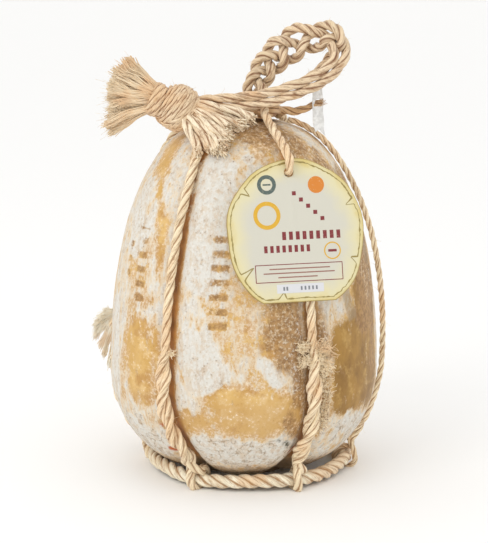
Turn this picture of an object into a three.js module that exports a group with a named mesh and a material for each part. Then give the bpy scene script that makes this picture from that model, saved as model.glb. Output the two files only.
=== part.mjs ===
// A whole provolone of about 5 kg, tied for hanging. The cheese is pear-shaped, with a flat foot, and six
// ropes run up it, five of them in grooves. Their lower ends are hitched to a thick rope that lies round
// the foot, and their upper ends meet in a crown. A big knot with two tassels holds a pair of ropes that
// turns over into a plaited hanging loop. A card tag is strung on the front right rope, and a paper strip
// hangs on a short rope end.
//
// Millimetres, +Z up, front towards -Y. The origin is the middle of the cheese's flat foot.
// An azimuth is an angle about Z from the front, turning towards +X. A rise is the angle that places a
// point on the cheese's profile, from the foot (negative) past the widest place (0) to the top (90 degrees).

import * as THREE from "three";

// ---- Driving dimensions ----

const DEGREES = Math.PI / 180;
const CHEESE_HEIGHT = 239;
const CHEESE_RADIUS = 90.8;
const WIDEST_Z = 70;
const UPPER_HALF = { reach: CHEESE_HEIGHT - WIDEST_Z, power: 2 / 3 };
const LOWER_HALF = { reach: 72, power: 0.8 }; // before its end is cut flat

const GAP = 0.5; // between pieces that touch
const NET_GAP = 0.8; // between the cheese and the net
const NET_ROPE = 3.1; // radius of a net rope
const DOUBLED_ROPE = 4.7; // radius where its tail is laid back along it
const STAY_ROPE = 2.1; // radius of the thin rope on the right
const STAY_LIFT = 2.9; // how far that one stands off the cheese
const FOOT_ROPE = 4.4; // radius of the rope round the foot
const FOOT_RING = 66; // radius of the ring that it makes
const FOOT_RING_X = 4; // how far the ring has slipped to the right
const FOOT_ROPE_Z = 6.6;
const HITCH_ROPE = 2.7;
const LOOP_ROPE = 2.7; // radius of each rope of the hanging loop
const PINCHED_ROPE = 2.2; // where a rope goes through the tag or the strip
const GROOVE_DEPTH = 3;
const GROOVE_SLACK = 0.7; // how much deeper a groove is than its rope
const GROOVE_WIDTH = 8;
const ROPE_SIDES = 8;

const CROWN = new THREE.Vector3(12, -4, 246.4);
const CROWN_RADIUS = 15;
const CROWN_HALF_HEIGHT = 6.8;
const KNOT = new THREE.Vector3(-43, -20, 248.3);
const KNOT_RADIUS = 16;
const KNOT_LEANS = new THREE.Vector3(-0.93, -0.06, 0.36).normalize(); // from the knot towards its collar
const COLLAR = { ring: 9.3, rope: 3 };

const TAG_HALF_WIDTH = 45;
const TAG_TOP = 45; // above the tag's middle
const TAG_BOTTOM = 46; // where it is cut straight, below the middle
const TAG_LOWER_REACH = 51.5;
const TAG_THICKNESS = 1.4;
const TAG_HOLE = 3.1;
const TAG_HOLE_UP = 36.5;
const STRIP = { width: 9.4, length: 30, thickness: 0.8, hole: 3.2, holeDown: 9, tail: 4 };

// ---- Shared colours and finishes ----

const finish = (color, roughness) => new THREE.MeshStandardMaterial({ color, roughness, metalness: 0 });
const RIND = finish(0xe2cda6, 0.75);
const ROPE = finish(0xddc096, 0.85);
const CARD = finish(0xe8e2c0, 0.6);
const PAPER = finish(0xf0efec, 0.7);

// ---- Helpers ----

const clamp01 = (x) => Math.min(1, Math.max(0, x));
const ease = (low, high, x) => {
  const t = clamp01((x - low) / (high - low));
  return t * t * (3 - 2 * t);
};
const mix = (a, b, t) => a + (b - a) * t;
const vector = (x, y, z) => new THREE.Vector3(x, y, z);
const towards = (azimuth) => vector(Math.sin(azimuth), -Math.cos(azimuth), 0);

/** A closed mesh from points and triangles. */
function solid(points, triangles) {
  const geometry = new THREE.BufferGeometry().setFromPoints(points);
  geometry.setIndex(triangles.flat());
  geometry.computeVertexNormals();
  return geometry;
}

/** Triangles that join ring after ring of points, each ring holding `sides` points. */
function skin(rings, sides, closedAlong) {
  const triangles = [];
  const spans = closedAlong ? rings : rings - 1;
  for (let i = 0; i < spans; i++) {
    const here = i * sides;
    const next = ((i + 1) % rings) * sides;
    for (let j = 0; j < sides; j++) {
      const k = (j + 1) % sides;
      triangles.push([here + j, here + k, next + k], [here + j, next + k, next + j]);
    }
  }
  return triangles;
}

/** A fan of triangles over one ring, from its first point. */
function cap(first, sides, reversed) {
  return Array.from({ length: sides - 2 }, (_, j) =>
    reversed ? [first, first + j + 2, first + j + 1] : [first, first + j + 1, first + j + 2],
  );
}

/**
 * A round tube with a ring at each of its centres, each ring turned as little as possible from the last.
 * radiusAt gives the radius, or [across, through], from the share of the way and the centre.
 */
function tube(centres, radiusAt, { closed = false, side = vector(0.3, 0.5, 0.8), sides = ROPE_SIDES } = {}) {
  const rings = centres.length;
  const points = [];
  let across = side;
  centres.forEach((centre, i) => {
    const before = centres[closed ? (i + rings - 1) % rings : Math.max(0, i - 1)];
    const after = centres[closed ? (i + 1) % rings : Math.min(rings - 1, i + 1)];
    const along = after.clone().sub(before).normalize();
    across = across.clone().addScaledVector(along, -across.dot(along)).normalize();
    const through = along.clone().cross(across);
    const radii = [radiusAt(i / (rings - 1), centre)].flat();
    for (let j = 0; j < sides; j++) {
      const turn = (j / sides) * 2 * Math.PI;
      const point = centre.clone().addScaledVector(across, radii[0] * Math.cos(turn));
      points.push(point.addScaledVector(through, (radii[1] ?? radii[0]) * Math.sin(turn)));
    }
  });
  const ends = closed ? [] : [...cap(0, sides, true), ...cap((rings - 1) * sides, sides, false)];
  return solid(points, [...skin(rings, sides, closed), ...ends]);
}

/** Evenly spaced points along a smooth curve through a few. */
const evenly = (points, steps) => new THREE.CatmullRomCurve3(points, false, "centripetal").getSpacedPoints(steps);

/** Points round a circle, from its middle and two directions as long as its radius. */
const circle = (middle, right, up, steps) =>
  Array.from({ length: steps }, (_, i) => {
    const turn = (i / steps) * 2 * Math.PI;
    return middle.clone().addScaledVector(right, Math.cos(turn)).addScaledVector(up, Math.sin(turn));
  });

/** The same geometry with every point moved by a function. */
function moved(geometry, move) {
  const position = geometry.getAttribute("position");
  for (let i = 0; i < position.count; i++) {
    const point = move(vector(position.getX(i), position.getY(i), position.getZ(i)));
    position.setXYZ(i, point.x, point.y, point.z);
  }
  return geometry;
}

// ---- The cheese's surface ----

const half = (above) => (above ? UPPER_HALF : LOWER_HALF);

/** Radius and height of the smooth profile: r = R cos(rise)^power, z = widest + reach sin(rise). */
function profile(rise) {
  const { reach, power } = half(rise > 0);
  return { r: CHEESE_RADIUS * Math.cos(rise) ** power, z: WIDEST_Z + reach * Math.sin(rise) };
}

/** The outward normal of the smooth surface. */
function outward(rise, azimuth) {
  const { reach, power } = half(rise > 0);
  const level = reach * Math.cos(rise);
  const steep = power * CHEESE_RADIUS * Math.sin(rise) * Math.cos(rise) ** (power - 1);
  return towards(azimuth).multiplyScalar(level).add(vector(0, 0, steep)).normalize();
}

/** A point moved out, if need be, until it is a clearance away from the smooth cheese. */
function clearOfCheese(point, clearance) {
  const out = point.clone();
  for (let pass = 0; pass < 4; pass++) {
    const { reach, power } = half(out.z > WIDEST_Z);
    const level = Math.hypot(out.x, out.y);
    const value = (level / CHEESE_RADIUS) ** (2 / power) + ((out.z - WIDEST_Z) / reach) ** 2 - 1;
    const sideways = ((2 / power) * (level / CHEESE_RADIUS) ** (2 / power - 2)) / CHEESE_RADIUS ** 2;
    const gradient = vector(out.x * sideways, out.y * sideways, (2 * (out.z - WIDEST_Z)) / reach ** 2);
    const distance = value / gradient.length();
    if (distance < clearance) out.addScaledVector(gradient.normalize(), clearance - distance);
  }
  return out;
}

// ---- The net's routes ----

// Azimuths in degrees low on the cheese, at its widest and high up, and where the rope ends at the top.
const NET = {
  front_left: { low: -30, wide: -34, high: -31, top: 60, gather: vector(0, 0, 0), doubledTo: 8 },
  front_right: { low: 28, wide: 29, high: 28, top: 34, gather: CROWN, doubledTo: 8 },
  right: { low: 84, wide: 92, high: 92, top: 85.5, gather: CROWN, stay: true },
  back_right: { low: 146, wide: 150, high: 150, top: 85.5, gather: CROWN, doubledTo: 12 },
  back_left: { low: -152, wide: -153, high: -150, top: 85.5, gather: CROWN, doubledTo: -5 },
  left: { low: -98, wide: -106, high: -120, top: 85.5, gather: CROWN, doubledTo: 12 },
};

const NET_START = -44; // the rise at which a net rope leaves its hitch

const netAzimuth = (rope, rise) =>
  DEGREES *
  (rise < 0
    ? mix(rope.wide, rope.low, ease(0, 45 * DEGREES, -rise))
    : mix(rope.wide, rope.high, ease(0, 75 * DEGREES, rise)));

/** Where a net rope passes over, seen from above, before it is set on the surface. */
function netOver(rope, rise) {
  const pull = ease(60 * DEGREES, 86 * DEGREES, rise);
  const over = towards(netAzimuth(rope, rise)).multiplyScalar(profile(rise).r);
  return over.add(vector(rope.gather.x, rope.gather.y, 0).multiplyScalar(pull));
}

/** How deep a rope presses into the rind. */
function pressed(rope, rise) {
  if (rope.stay) return 0.8 * ease(20 * DEGREES, -20 * DEGREES, rise);
  const low = 1.8 * ease(0, 45 * DEGREES, -rise);
  return (GROOVE_DEPTH + low) * (1 - ease(48 * DEGREES, 66 * DEGREES, rise));
}

const netRadius = (rope, rise) => {
  if (rope.stay) return STAY_ROPE;
  return mix(DOUBLED_ROPE, NET_ROPE, ease((rope.doubledTo - 4) * DEGREES, (rope.doubledTo + 4) * DEGREES, rise));
};

/** The rise of a height, for points beside the surface. */
const riseOf = (z) => Math.asin(Math.max(-1, Math.min(1, (z - WIDEST_Z) / half(z > WIDEST_Z).reach)));

/** The middle of a net rope on the cheese. */
function netPoint(rope, rise) {
  const over = netOver(rope, rise);
  const level = over.length();
  const here = Math.sign(rise) * Math.acos(Math.min(1, (level / CHEESE_RADIUS) ** (1 / half(rise > 0).power)));
  const azimuth = Math.atan2(over.x, -over.y);
  const free = ease(-20 * DEGREES, 20 * DEGREES, rise) * (1 - ease(25 * DEGREES, 58 * DEGREES, rise));
  const lift = rope.stay ? STAY_LIFT * free : 0;
  const away = netRadius(rope, rise) + NET_GAP - pressed(rope, rise) + lift;
  return vector(over.x, over.y, profile(here).z).addScaledVector(outward(here, azimuth), away);
}

/** The route of a net rope, from its hitch on the foot rope to where it leaves the cheese or ends. */
function netRoute(rope) {
  const steps = Math.round((rope.top - NET_START) / 6.5);
  return Array.from({ length: steps + 1 }, (_, i) => netPoint(rope, mix(NET_START, rope.top, i / steps) * DEGREES));
}

// ---- The pieces ----

const group = new THREE.Group();

function add(name, geometry, material) {
  const mesh = new THREE.Mesh(geometry, material);
  mesh.name = name;
  group.add(mesh);
}

/** The cheese: rings of points up the profile, closer together beside each rope, pressed in under it. */
function cheese() {
  const ropes = Object.values(NET).sort((a, b) => a.wide - b.wide);
  const perLobe = 10;
  const levels = 23;
  const footRise = Math.asin(-WIDEST_Z / LOWER_HALF.reach);
  const points = [];
  for (let i = 0; i < levels; i++) {
    const rise = mix(footRise, 86 * DEGREES, i / (levels - 1));
    const { r, z } = profile(rise);
    for (let lobe = 0; lobe < ropes.length; lobe++) {
      const from = netAzimuth(ropes[lobe], rise);
      const next = netAzimuth(ropes[(lobe + 1) % ropes.length], rise);
      const to = next < from ? next + 2 * Math.PI : next;
      for (let j = 0; j < perLobe; j++) {
        const share = j / perLobe;
        const azimuth = mix(from, to, share - (0.6 * Math.sin(2 * Math.PI * share)) / (2 * Math.PI));
        const over = towards(azimuth).multiplyScalar(r);
        let groove = 0;
        for (const rope of ropes) {
          const across = over.distanceTo(netOver(rope, rise)) / GROOVE_WIDTH;
          const depth = pressed(rope, rise);
          groove = Math.max(groove, (depth + GROOVE_SLACK * clamp01(depth)) * Math.exp(-across * across));
        }
        points.push(over.setZ(z).addScaledVector(outward(rise, azimuth), i === 0 ? 0 : -groove));
      }
    }
  }
  const sides = ropes.length * perLobe;
  const last = (levels - 1) * sides;
  const top = points.push(vector(0, 0, CHEESE_HEIGHT)) - 1;
  const crest = Array.from({ length: sides }, (_, j) => [last + j, last + ((j + 1) % sides), top]);
  return solid(points, [...skin(levels, sides, false), ...cap(0, sides, true), ...crest]);
}

/** The middle of the foot rope, which is slightly drawn in between its hitches. */
function footPoint(azimuth) {
  const radius = FOOT_RING - 0.6 * (1 + Math.cos(6 * azimuth));
  return towards(azimuth).multiplyScalar(radius).add(vector(FOOT_RING_X, 0, FOOT_ROPE_Z));
}

function footRope() {
  const steps = 36;
  const points = Array.from({ length: steps }, (_, i) => footPoint((i / steps) * 2 * Math.PI));
  return tube(points, () => FOOT_ROPE, { closed: true });
}

/** One turn of rope round the foot rope, pressed flat where it lies on the table. */
function hitch(rope) {
  const turn = FOOT_ROPE + 2 * GAP + HITCH_ROPE;
  const out = towards(rope.low * DEGREES).multiplyScalar(turn);
  const points = circle(footPoint(rope.low * DEGREES), out, vector(0, 0, turn), 12);
  const flat = (point) => point.setZ(Math.max(0, point.z));
  return moved(tube(points, () => HITCH_ROPE, { closed: true, sides: 6 }), flat);
}

/** A squashed ball that stays clear of the cheese. */
function lump(centre, across, up, clearance) {
  const rings = 11;
  const sides = 18;
  const points = [];
  for (let i = 1; i < rings; i++) {
    const angle = (i / rings - 0.5) * Math.PI;
    for (let j = 0; j < sides; j++) {
      const turn = (j / sides) * 2 * Math.PI;
      const wide = across * Math.cos(angle);
      points.push(centre.clone().add(vector(wide * Math.cos(turn), wide * Math.sin(turn), up * Math.sin(angle))));
    }
  }
  const last = (rings - 2) * sides;
  const triangles = [...skin(rings - 1, sides, false), ...cap(0, sides, true), ...cap(last, sides, false)];
  return moved(solid(points, triangles), (point) => clearOfCheese(point, clearance));
}

// ---- The hanging loop ----

// Middle line of the pair of ropes that leave the knot, rise to the right and turn over at the far end.
const PAIR_ROUTE = [
  vector(-24, -21, 251),
  vector(-8, -22, 252),
  vector(13, -23, 254.6),
  vector(29, -20, 259),
  vector(45, -15, 264.5),
  vector(56.5, -9, 271.5),
  vector(63, -4, 279.5),
  vector(64, -1, 286),
];
// Middle line of the plait that comes back over the top and down to the crown.
const PLAIT_ROUTE = [
  vector(62, 2, 291.5),
  vector(56, 5, 294.5),
  vector(46, 8, 293),
  vector(35, 9, 289.5),
  vector(24.5, 8, 283),
  vector(17, 7, 276),
  vector(11.5, 5, 268.5),
  vector(8.5, 2, 262),
  vector(7.5, -1, 257.5),
];
// Where the plait's third rope comes from, inside the loop.
const THIRD_ROPE = [vector(44, 2, 266), vector(51, 8, 271), vector(57, 9, 279)];
const PLAIT_STARTS = 0.56; // share of the loop's length where the pair becomes a plait
const PLAIT_TURNS = 1.4;
const PLAIT_DEPTH = -5.2;

/** How far a loop rope lies from the middle line, across the loop's face and through it. */
function loopOffset(order, share) {
  const along = clamp01((share - PLAIT_STARTS) / (1 - PLAIT_STARTS));
  const phase = 2 * Math.PI * (PLAIT_TURNS * along + order / 3);
  const wide = 5.6 + 3.6 * Math.sin(Math.PI * along) ** 2;
  const plait = [wide * Math.sin(phase), PLAIT_DEPTH * Math.sin(2 * phase)];
  const pair = [(order === 1 ? 1 : -1) * (LOOP_ROPE + GAP), 0];
  const woven = order === 0 ? 1 : ease(-0.09, 0, share - PLAIT_STARTS);
  return [mix(pair[0], plait[0], woven), mix(pair[1], plait[1], woven)];
}

function loopRope(order) {
  const middle = new THREE.CatmullRomCurve3([...PAIR_ROUTE, ...PLAIT_ROUTE], false, "centripetal");
  const steps = 52;
  const third = order === 0;
  const first = third ? Math.round(steps * PLAIT_STARTS) : 0;
  const points = third ? [...THIRD_ROPE] : [];
  for (let i = first; i <= steps; i++) {
    const share = i / steps;
    const onward = middle.getTangentAt(share);
    const face = vector(0, -1, 0).addScaledVector(onward, onward.y).normalize();
    const across = onward.clone().cross(face);
    const [a, b] = loopOffset(order, share);
    points.push(middle.getPointAt(share).addScaledVector(across, a).addScaledVector(face, -b));
  }
  return tube(evenly(points, third ? 22 : 36), () => LOOP_ROPE);
}

// ---- The tag and the paper strip ----

/** The tag's outline: a slightly squared circle with a worn edge, deeper below, where it is cut straight. */
function tagOutline() {
  const steps = 44;
  const cut = Math.asin((TAG_BOTTOM / TAG_LOWER_REACH) ** 1.15);
  return Array.from({ length: steps }, (_, i) => {
    const angle = mix(-cut, Math.PI + cut, i / (steps - 1));
    const worn = 1 + 0.007 * Math.sin(9 * angle + 1) + 0.006 * Math.sin(5 * angle);
    const [c, s] = [Math.cos(angle), Math.sin(angle)];
    const [reach, power] = s > 0 ? [TAG_TOP, 1] : [TAG_LOWER_REACH, 1 / 1.15];
    return new THREE.Vector2(
      TAG_HALF_WIDTH * Math.sign(c) * Math.abs(c) ** power * worn,
      reach * Math.sign(s) * Math.abs(s) ** power * (s > 0 ? worn : 1),
    );
  });
}

function plate(outline, hole, at, thickness) {
  const shape = new THREE.Shape(outline);
  const ring = new THREE.Path();
  ring.absarc(at.x, at.y, hole, 0, 2 * Math.PI, true);
  shape.holes.push(ring);
  return new THREE.ExtrudeGeometry(shape, { depth: thickness, bevelEnabled: false, curveSegments: 6 });
}

// The tag faces right of the front and leans back. It is strung on the front right rope and rests on it.
const TAG_FACES = towards(15 * DEGREES).multiplyScalar(Math.cos(13 * DEGREES)).setZ(Math.sin(13 * DEGREES));
const TAG_RIGHT = vector(0, 0, 1).cross(TAG_FACES).normalize();
const TAG_UP = TAG_FACES.clone().cross(TAG_RIGHT);
const TAG_MIDDLE = vector(31.5, -70, 175.5);
const TAG_HOLE_AT = new THREE.Vector2(-2.5, TAG_HOLE_UP);
const ropeBehind = netRoute(NET.front_right);
const tagRests = Math.max(...ropeBehind.map((point) => point.dot(TAG_FACES))) + NET_ROPE + GAP;
TAG_MIDDLE.addScaledVector(TAG_FACES, tagRests - TAG_MIDDLE.dot(TAG_FACES));

/** A point given by its place on the tag and its height in front of the tag's back. */
const onTag = (x, y, out) =>
  TAG_MIDDLE.clone().addScaledVector(TAG_RIGHT, x).addScaledVector(TAG_UP, y).addScaledVector(TAG_FACES, out);

/** The front right rope: up the cheese, up the tag's back, out through its hole and on to the crown. */
function tagRope() {
  const [x, y] = [TAG_HOLE_AT.x, TAG_HOLE_AT.y];
  const through = evenly(
    [
      onTag(x + 2.4, y - 22, -4),
      onTag(x + 1, y - 8, -4.6),
      onTag(x, y - 0.9, -3),
      onTag(x, y, TAG_THICKNESS / 2),
      onTag(x, y + 1.2, TAG_THICKNESS + 2.6),
      onTag(x - 0.8, y + 9, TAG_THICKNESS + 4.4),
      vector(18, -33, 237.5),
      vector(14.5, -22.5, 243),
    ],
    26,
  );
  const hole = onTag(x, y, TAG_THICKNESS / 2);
  const radiusAt = (share, centre) =>
    mix(PINCHED_ROPE, netRadius(NET.front_right, riseOf(centre.z)), ease(3, 9, centre.distanceTo(hole)));
  return tube([...ropeBehind, ...through], radiusAt);
}

/** A geometry set up in a frame of its own: right, up, out, and where its origin goes. */
function placed(geometry, right, up, out, at) {
  return geometry.applyMatrix4(new THREE.Matrix4().makeBasis(right, up, out).setPosition(at));
}

add("cheese", cheese(), RIND);
add("foot_rope", footRope(), ROPE);
for (const [name, rope] of Object.entries(NET)) {
  add("hitch_" + name, hitch(rope), ROPE);
  const radiusAt = (share, centre) => netRadius(rope, riseOf(centre.z));
  add("net_rope_" + name, name === "front_right" ? tagRope() : tube(netRoute(rope), radiusAt), ROPE);
}
add("crown", lump(CROWN, CROWN_RADIUS, CROWN_HALF_HEIGHT, GAP), ROPE);
add("big_knot", lump(KNOT, KNOT_RADIUS, KNOT_RADIUS, GAP), ROPE);
[0, 1, 2].forEach((order) => add("loop_rope_" + (order + 1), loopRope(order), ROPE));

const tagPlate = plate(tagOutline(), TAG_HOLE, TAG_HOLE_AT, TAG_THICKNESS);
add("tag", placed(tagPlate, TAG_RIGHT, TAG_UP, TAG_FACES, TAG_MIDDLE), CARD);

const stripHole = vector(49, -6, 250.5);
const endRoute = [
  vector(29.5, -6, 245),
  vector(36, -6, 245),
  vector(42, -6, 247),
  stripHole,
  vector(52.5, -6, 252.5),
];
const endRadius = (share) => mix(2.7, PINCHED_ROPE, ease(0.4, 0.7, share));
add("rope_end", tube(evenly(endRoute, 8), endRadius), ROPE);

/** The paper strip, with a hole near its top and a notch in its lower end. */
function strip() {
  const { width, length, hole, holeDown, tail, thickness } = STRIP;
  const low = holeDown - length;
  const corners = [
    [-width / 2, low],
    [0, low + tail],
    [width / 2, low],
    [width / 2, holeDown],
    [-width / 2, holeDown],
  ].map(([x, y]) => new THREE.Vector2(x, y));
  return plate(corners, hole, vector(0, 0, 0), thickness).translate(0, 0, -thickness / 2);
}

const stripFaces = vector(0.83, -0.45, 0.33).normalize();
const stripRight = vector(0, 0, 1).cross(stripFaces).normalize();
const stripUp = stripFaces.clone().cross(stripRight);
add("paper_strip", placed(strip(), stripRight, stripUp, stripFaces, stripHole), PAPER);

// ---- The knot's collar and its two tassels ----

const alongKnot = (distance) => KNOT.clone().addScaledVector(KNOT_LEANS, distance);

/** A turn of rope round the neck of the left tassel. */
function collar() {
  const side = vector(0, 1, 0).cross(KNOT_LEANS).setLength(COLLAR.ring);
  const other = KNOT_LEANS.clone().cross(side);
  const middle = alongKnot(Math.sqrt(KNOT_RADIUS ** 2 - COLLAR.ring ** 2) + COLLAR.rope + 2 * GAP);
  return tube(circle(middle, side, other, 14), () => COLLAR.rope, { closed: true, sides: 6 });
}
add("knot_collar", collar(), ROPE);

const fan = [alongKnot(KNOT_RADIUS + 0.3), alongKnot(20), alongKnot(24), vector(-75, -22, 255), vector(-85, -23, 257.5)];
const fanRadii = (share) => [mix(5.4, 27, ease(0.2, 1.3, share) * 1.1), mix(5.4, 7.5, share)];
add("left_tassel", tube(evenly(fan, 7), fanRadii, { side: vector(0, 0, 1), sides: 12 }), ROPE);

// Each cut end leaves the knot towards one side and lies on the cheese's shoulder.
const CUT_ENDS = [
  { leaves: vector(16, -7.5, 2), lies: vector(7, -29, 240) },
  { leaves: vector(14, -13, -2.5), lies: vector(-2, -40, 235) },
  { leaves: vector(10, -15, -6), lies: vector(-8, -50, 228) },
  { leaves: vector(11, -12, -12.5), lies: vector(-14, -53, 224) },
  { leaves: vector(5.5, -15, -10.5), lies: vector(-25, -49.5, 223) },
];
const CUT_END_ROPE = 2.4;
CUT_ENDS.forEach(({ leaves, lies }, i) => {
  const from = KNOT.clone().add(leaves.clone().setLength(KNOT_RADIUS + 2.2));
  const points = [0, 0.25, 0.5, 0.75, 1].map((share) =>
    clearOfCheese(from.clone().lerp(lies, share), CUT_END_ROPE + GAP),
  );
  add("cut_end_" + (i + 1), tube(evenly(points, 5), () => CUT_END_ROPE, { sides: 6 }), ROPE);
});

export default group;
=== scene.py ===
"""A whole roped cheese: its rind, its net of laid rope, the knot, the hanging loop, a card tag and a strip.

Lengths are millimetres until a mesh is made. The front is towards -Y and +Z is up. An azimuth is an angle
about Z from the front towards +X, and a rise is the angle that places a point on the cheese's profile.
"""

import math

import bpy
import numpy as np
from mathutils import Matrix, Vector


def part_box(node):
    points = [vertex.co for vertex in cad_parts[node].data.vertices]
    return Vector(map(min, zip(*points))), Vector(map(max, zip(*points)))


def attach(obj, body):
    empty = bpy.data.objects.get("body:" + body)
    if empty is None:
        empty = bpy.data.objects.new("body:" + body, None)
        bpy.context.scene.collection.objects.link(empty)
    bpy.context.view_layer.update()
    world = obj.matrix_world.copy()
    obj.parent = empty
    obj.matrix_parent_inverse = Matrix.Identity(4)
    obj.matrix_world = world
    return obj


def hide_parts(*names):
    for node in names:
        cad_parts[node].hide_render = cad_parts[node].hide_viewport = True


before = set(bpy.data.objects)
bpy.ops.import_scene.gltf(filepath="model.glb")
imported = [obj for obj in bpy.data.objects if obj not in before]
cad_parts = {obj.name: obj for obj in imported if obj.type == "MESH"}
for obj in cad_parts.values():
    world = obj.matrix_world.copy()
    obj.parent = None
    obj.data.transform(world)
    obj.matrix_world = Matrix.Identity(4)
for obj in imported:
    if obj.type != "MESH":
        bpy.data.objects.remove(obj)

bl_info = {
    "name": "Roped cheese",
    "version": (1, 0, 0),
    "blender": (4, 5, 0),
    "location": "3D View > Sidebar > Roped cheese",
    "description": "Builds a whole cheese in a net of laid rope, with its knot, loop, tag and strip",
    "category": "Object",
}

DEGREES = math.pi / 180
UP = np.array([0, 0, 1.0])
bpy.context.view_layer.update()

# ---- Sizes shared with the frame ----

CHEESE_HEIGHT = 1000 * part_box("cheese")[1].z
CHEESE_RADIUS = 90.8
WIDEST_Z = 70.0
UPPER_REACH, UPPER_POWER = CHEESE_HEIGHT - WIDEST_Z, 2 / 3
LOWER_REACH, LOWER_POWER = 72.0, 0.8
GAP, NET_GAP = 0.5, 0.8  # between pieces, and between the cheese and the net
NET_ROPE, DOUBLED_ROPE, STAY_ROPE = 3.1, 4.7, 2.1  # radii: a net rope, with its tail, and the thin right one
STAY_LIFT = 2.9  # how far the right rope stands off
FOOT_ROPE, FOOT_RING = 4.7, 66.0  # the foot rope's own radius, and that of its ring
FOOT_RING_X, FOOT_ROPE_Z = 4.0, 6.6  # the ring's middle
GROOVE_DEPTH, GROOVE_WIDTH = 3.0, 8.0
NET_START = -44.0  # the lowest rise of the net's ropes
CROWN = np.array([12.0, -4.0, 246.4])
KNOT = np.array([-43.0, -20.0, 248.3])
KNOT_LEANS = np.array([-0.93, -0.06, 0.36])
KNOT_LEANS /= np.linalg.norm(KNOT_LEANS)
KNOT_RADIUS = 16.0

# Each rope of the net: azimuths low on the cheese, at its widest and high up, the rise where it leaves the
# rind, whether it is pulled to the crown, and the rise up to which its tail is laid back along it.
NET = {
    "front_left": dict(low=-30, wide=-34, high=-31, top=62.5, crowned=0, doubled_to=8),
    "front_right": dict(low=28, wide=29, high=28, top=34, crowned=1, doubled_to=8),
    "right": dict(low=84, wide=92, high=92, top=85.5, crowned=1, doubled_to=None),
    "back_right": dict(low=146, wide=150, high=150, top=85.5, crowned=1, doubled_to=12),
    "back_left": dict(low=-152, wide=-153, high=-150, top=85.5, crowned=1, doubled_to=-5),
    "left": dict(low=-98, wide=-106, high=-120, top=85.5, crowned=1, doubled_to=12),
}


# ---- Settings that a user would change ----


def colour_setting(name, description, default):
    """A colour that a user can change."""
    return bpy.props.FloatVectorProperty(
        name=name, description=description, default=default, size=3, subtype="COLOR"
    )


def number_setting(name, description, default, **more):
    """A number that a user can change."""
    return bpy.props.FloatProperty(name=name, description=description, default=default, **more)


class CheeseSettings(bpy.types.PropertyGroup):
    """Sizes and colours of the cheese, its ropes, its tag and the stage."""

    unevenness: number_setting("Unevenness", "Height of the cheese's wide lumps", 0.0009, unit="LENGTH")
    bloom_thickness: number_setting(
        "Bloom thickness", "How far the white bloom stands on the rind", 0.00035, unit="LENGTH"
    )
    amber: colour_setting("Amber", "Bare rind", (0.60, 0.355, 0.095))
    bloom: colour_setting("Bloom", "White mould bloom", (0.69, 0.665, 0.605))
    straw: colour_setting("Straw", "Pale fibres of the ropes", (0.99, 0.84, 0.585))
    straw_shade: colour_setting("Straw shade", "Fibres deep in the ropes", (0.47, 0.29, 0.14))
    lay: number_setting("Lay", "Length of one turn of a strand, in rope radii", 10.4, min=4.0, max=16.0)
    card: colour_setting("Card", "Middle of the tag", (0.625, 0.605, 0.515))
    card_edge: colour_setting("Card edge", "Aged edge of the tag", (0.66, 0.53, 0.20))
    key_light: number_setting("Key light", "Strength of the large soft light", 4.6, unit="POWER")
    room_light: number_setting("Room light", "Strength of the white room", 1.0, min=0.0)


def settings():
    """The settings in use."""
    return bpy.context.scene.roped_cheese


# ---- Numbers ----


def ease(low, high, x):
    """A smooth step from 0 at low to 1 at high: t squared times (3 - 2t)."""
    t = np.clip((np.asarray(x, float) - low) / (high - low), 0, 1)
    return t * t * (3 - 2 * t)


def mix(a, b, t):
    """a where t is 0, b where t is 1."""
    return a + (b - a) * t


def unit(vectors):
    """The same directions at length 1."""
    return vectors / np.maximum(np.linalg.norm(vectors, axis=-1, keepdims=True), 1e-9)


def dot(a, b):
    """Scalar products, kept as a last axis."""
    return np.sum(a * b, axis=-1, keepdims=True)


def column(values):
    """Values as a last axis, to multiply vectors with."""
    return np.asarray(values, float)[..., None]


def towards(azimuth):
    """The level direction of an azimuth in radians."""
    azimuth = np.asarray(azimuth, float)
    return np.stack([np.sin(azimuth), -np.cos(azimuth), np.zeros_like(azimuth)], -1)


def circle(across, through, turn, radius=1):
    """A step of a radius from a middle, turned from one direction towards another by an angle."""
    return across * column(radius * np.cos(turn)) + through * column(radius * np.sin(turn))


def scatter(rng, count, spread=1):
    """Random normal vectors."""
    return rng.normal(size=(count, 3)) * spread


def cloud(points, size, seed, octaves, keep=0.55):
    """Smooth random lumps, about -1 to 1. Random values stand at the corners of cells of the given size, and
    are blended across each cell with a smooth step. Each further octave halves the cells and keeps a share
    of the strength."""
    rng = np.random.default_rng(seed)
    total, strength, sum_of_strengths = 0.0, 1.0, 0.0
    for octave in range(octaves):
        values = rng.uniform(-1, 1, 4096)
        place = points / size * 2**octave + 31.7 * (octave + 1)
        cell = np.floor(place).astype(np.int64)
        part = place - cell
        part = part * part * (3 - 2 * part)
        lumps = 0.0
        for corner in np.ndindex(2, 2, 2):
            at = cell + np.array(corner)
            key = (at[..., 0] * 73856093) ^ (at[..., 1] * 19349663) ^ (at[..., 2] * 83492791)
            weight = np.prod(np.where(np.array(corner) == 1, part, 1 - part), axis=-1)
            lumps = lumps + weight * values[key & 4095]
        total = total + strength * lumps
        sum_of_strengths += strength
        strength *= keep
    return total / sum_of_strengths


def wander(along, size, seed):
    """Slow random change along a length, about -1 to 1."""
    along = np.asarray(along, float)
    return cloud(np.stack([along, 0 * along, 0 * along], -1), size, seed, octaves=2)


def lengths_along(line):
    """Distance travelled at each point of a line."""
    return np.concatenate([[0], np.cumsum(np.linalg.norm(np.diff(line, axis=0), axis=1))])


def evenly(line, spacing):
    """The same line with its points evenly spaced."""
    travelled = lengths_along(line)
    count = max(4, int(round(travelled[-1] / spacing)) + 1)
    wanted = np.linspace(0, travelled[-1], count)
    return np.stack([np.interp(wanted, travelled, line[:, axis]) for axis in range(3)], -1)


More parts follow.
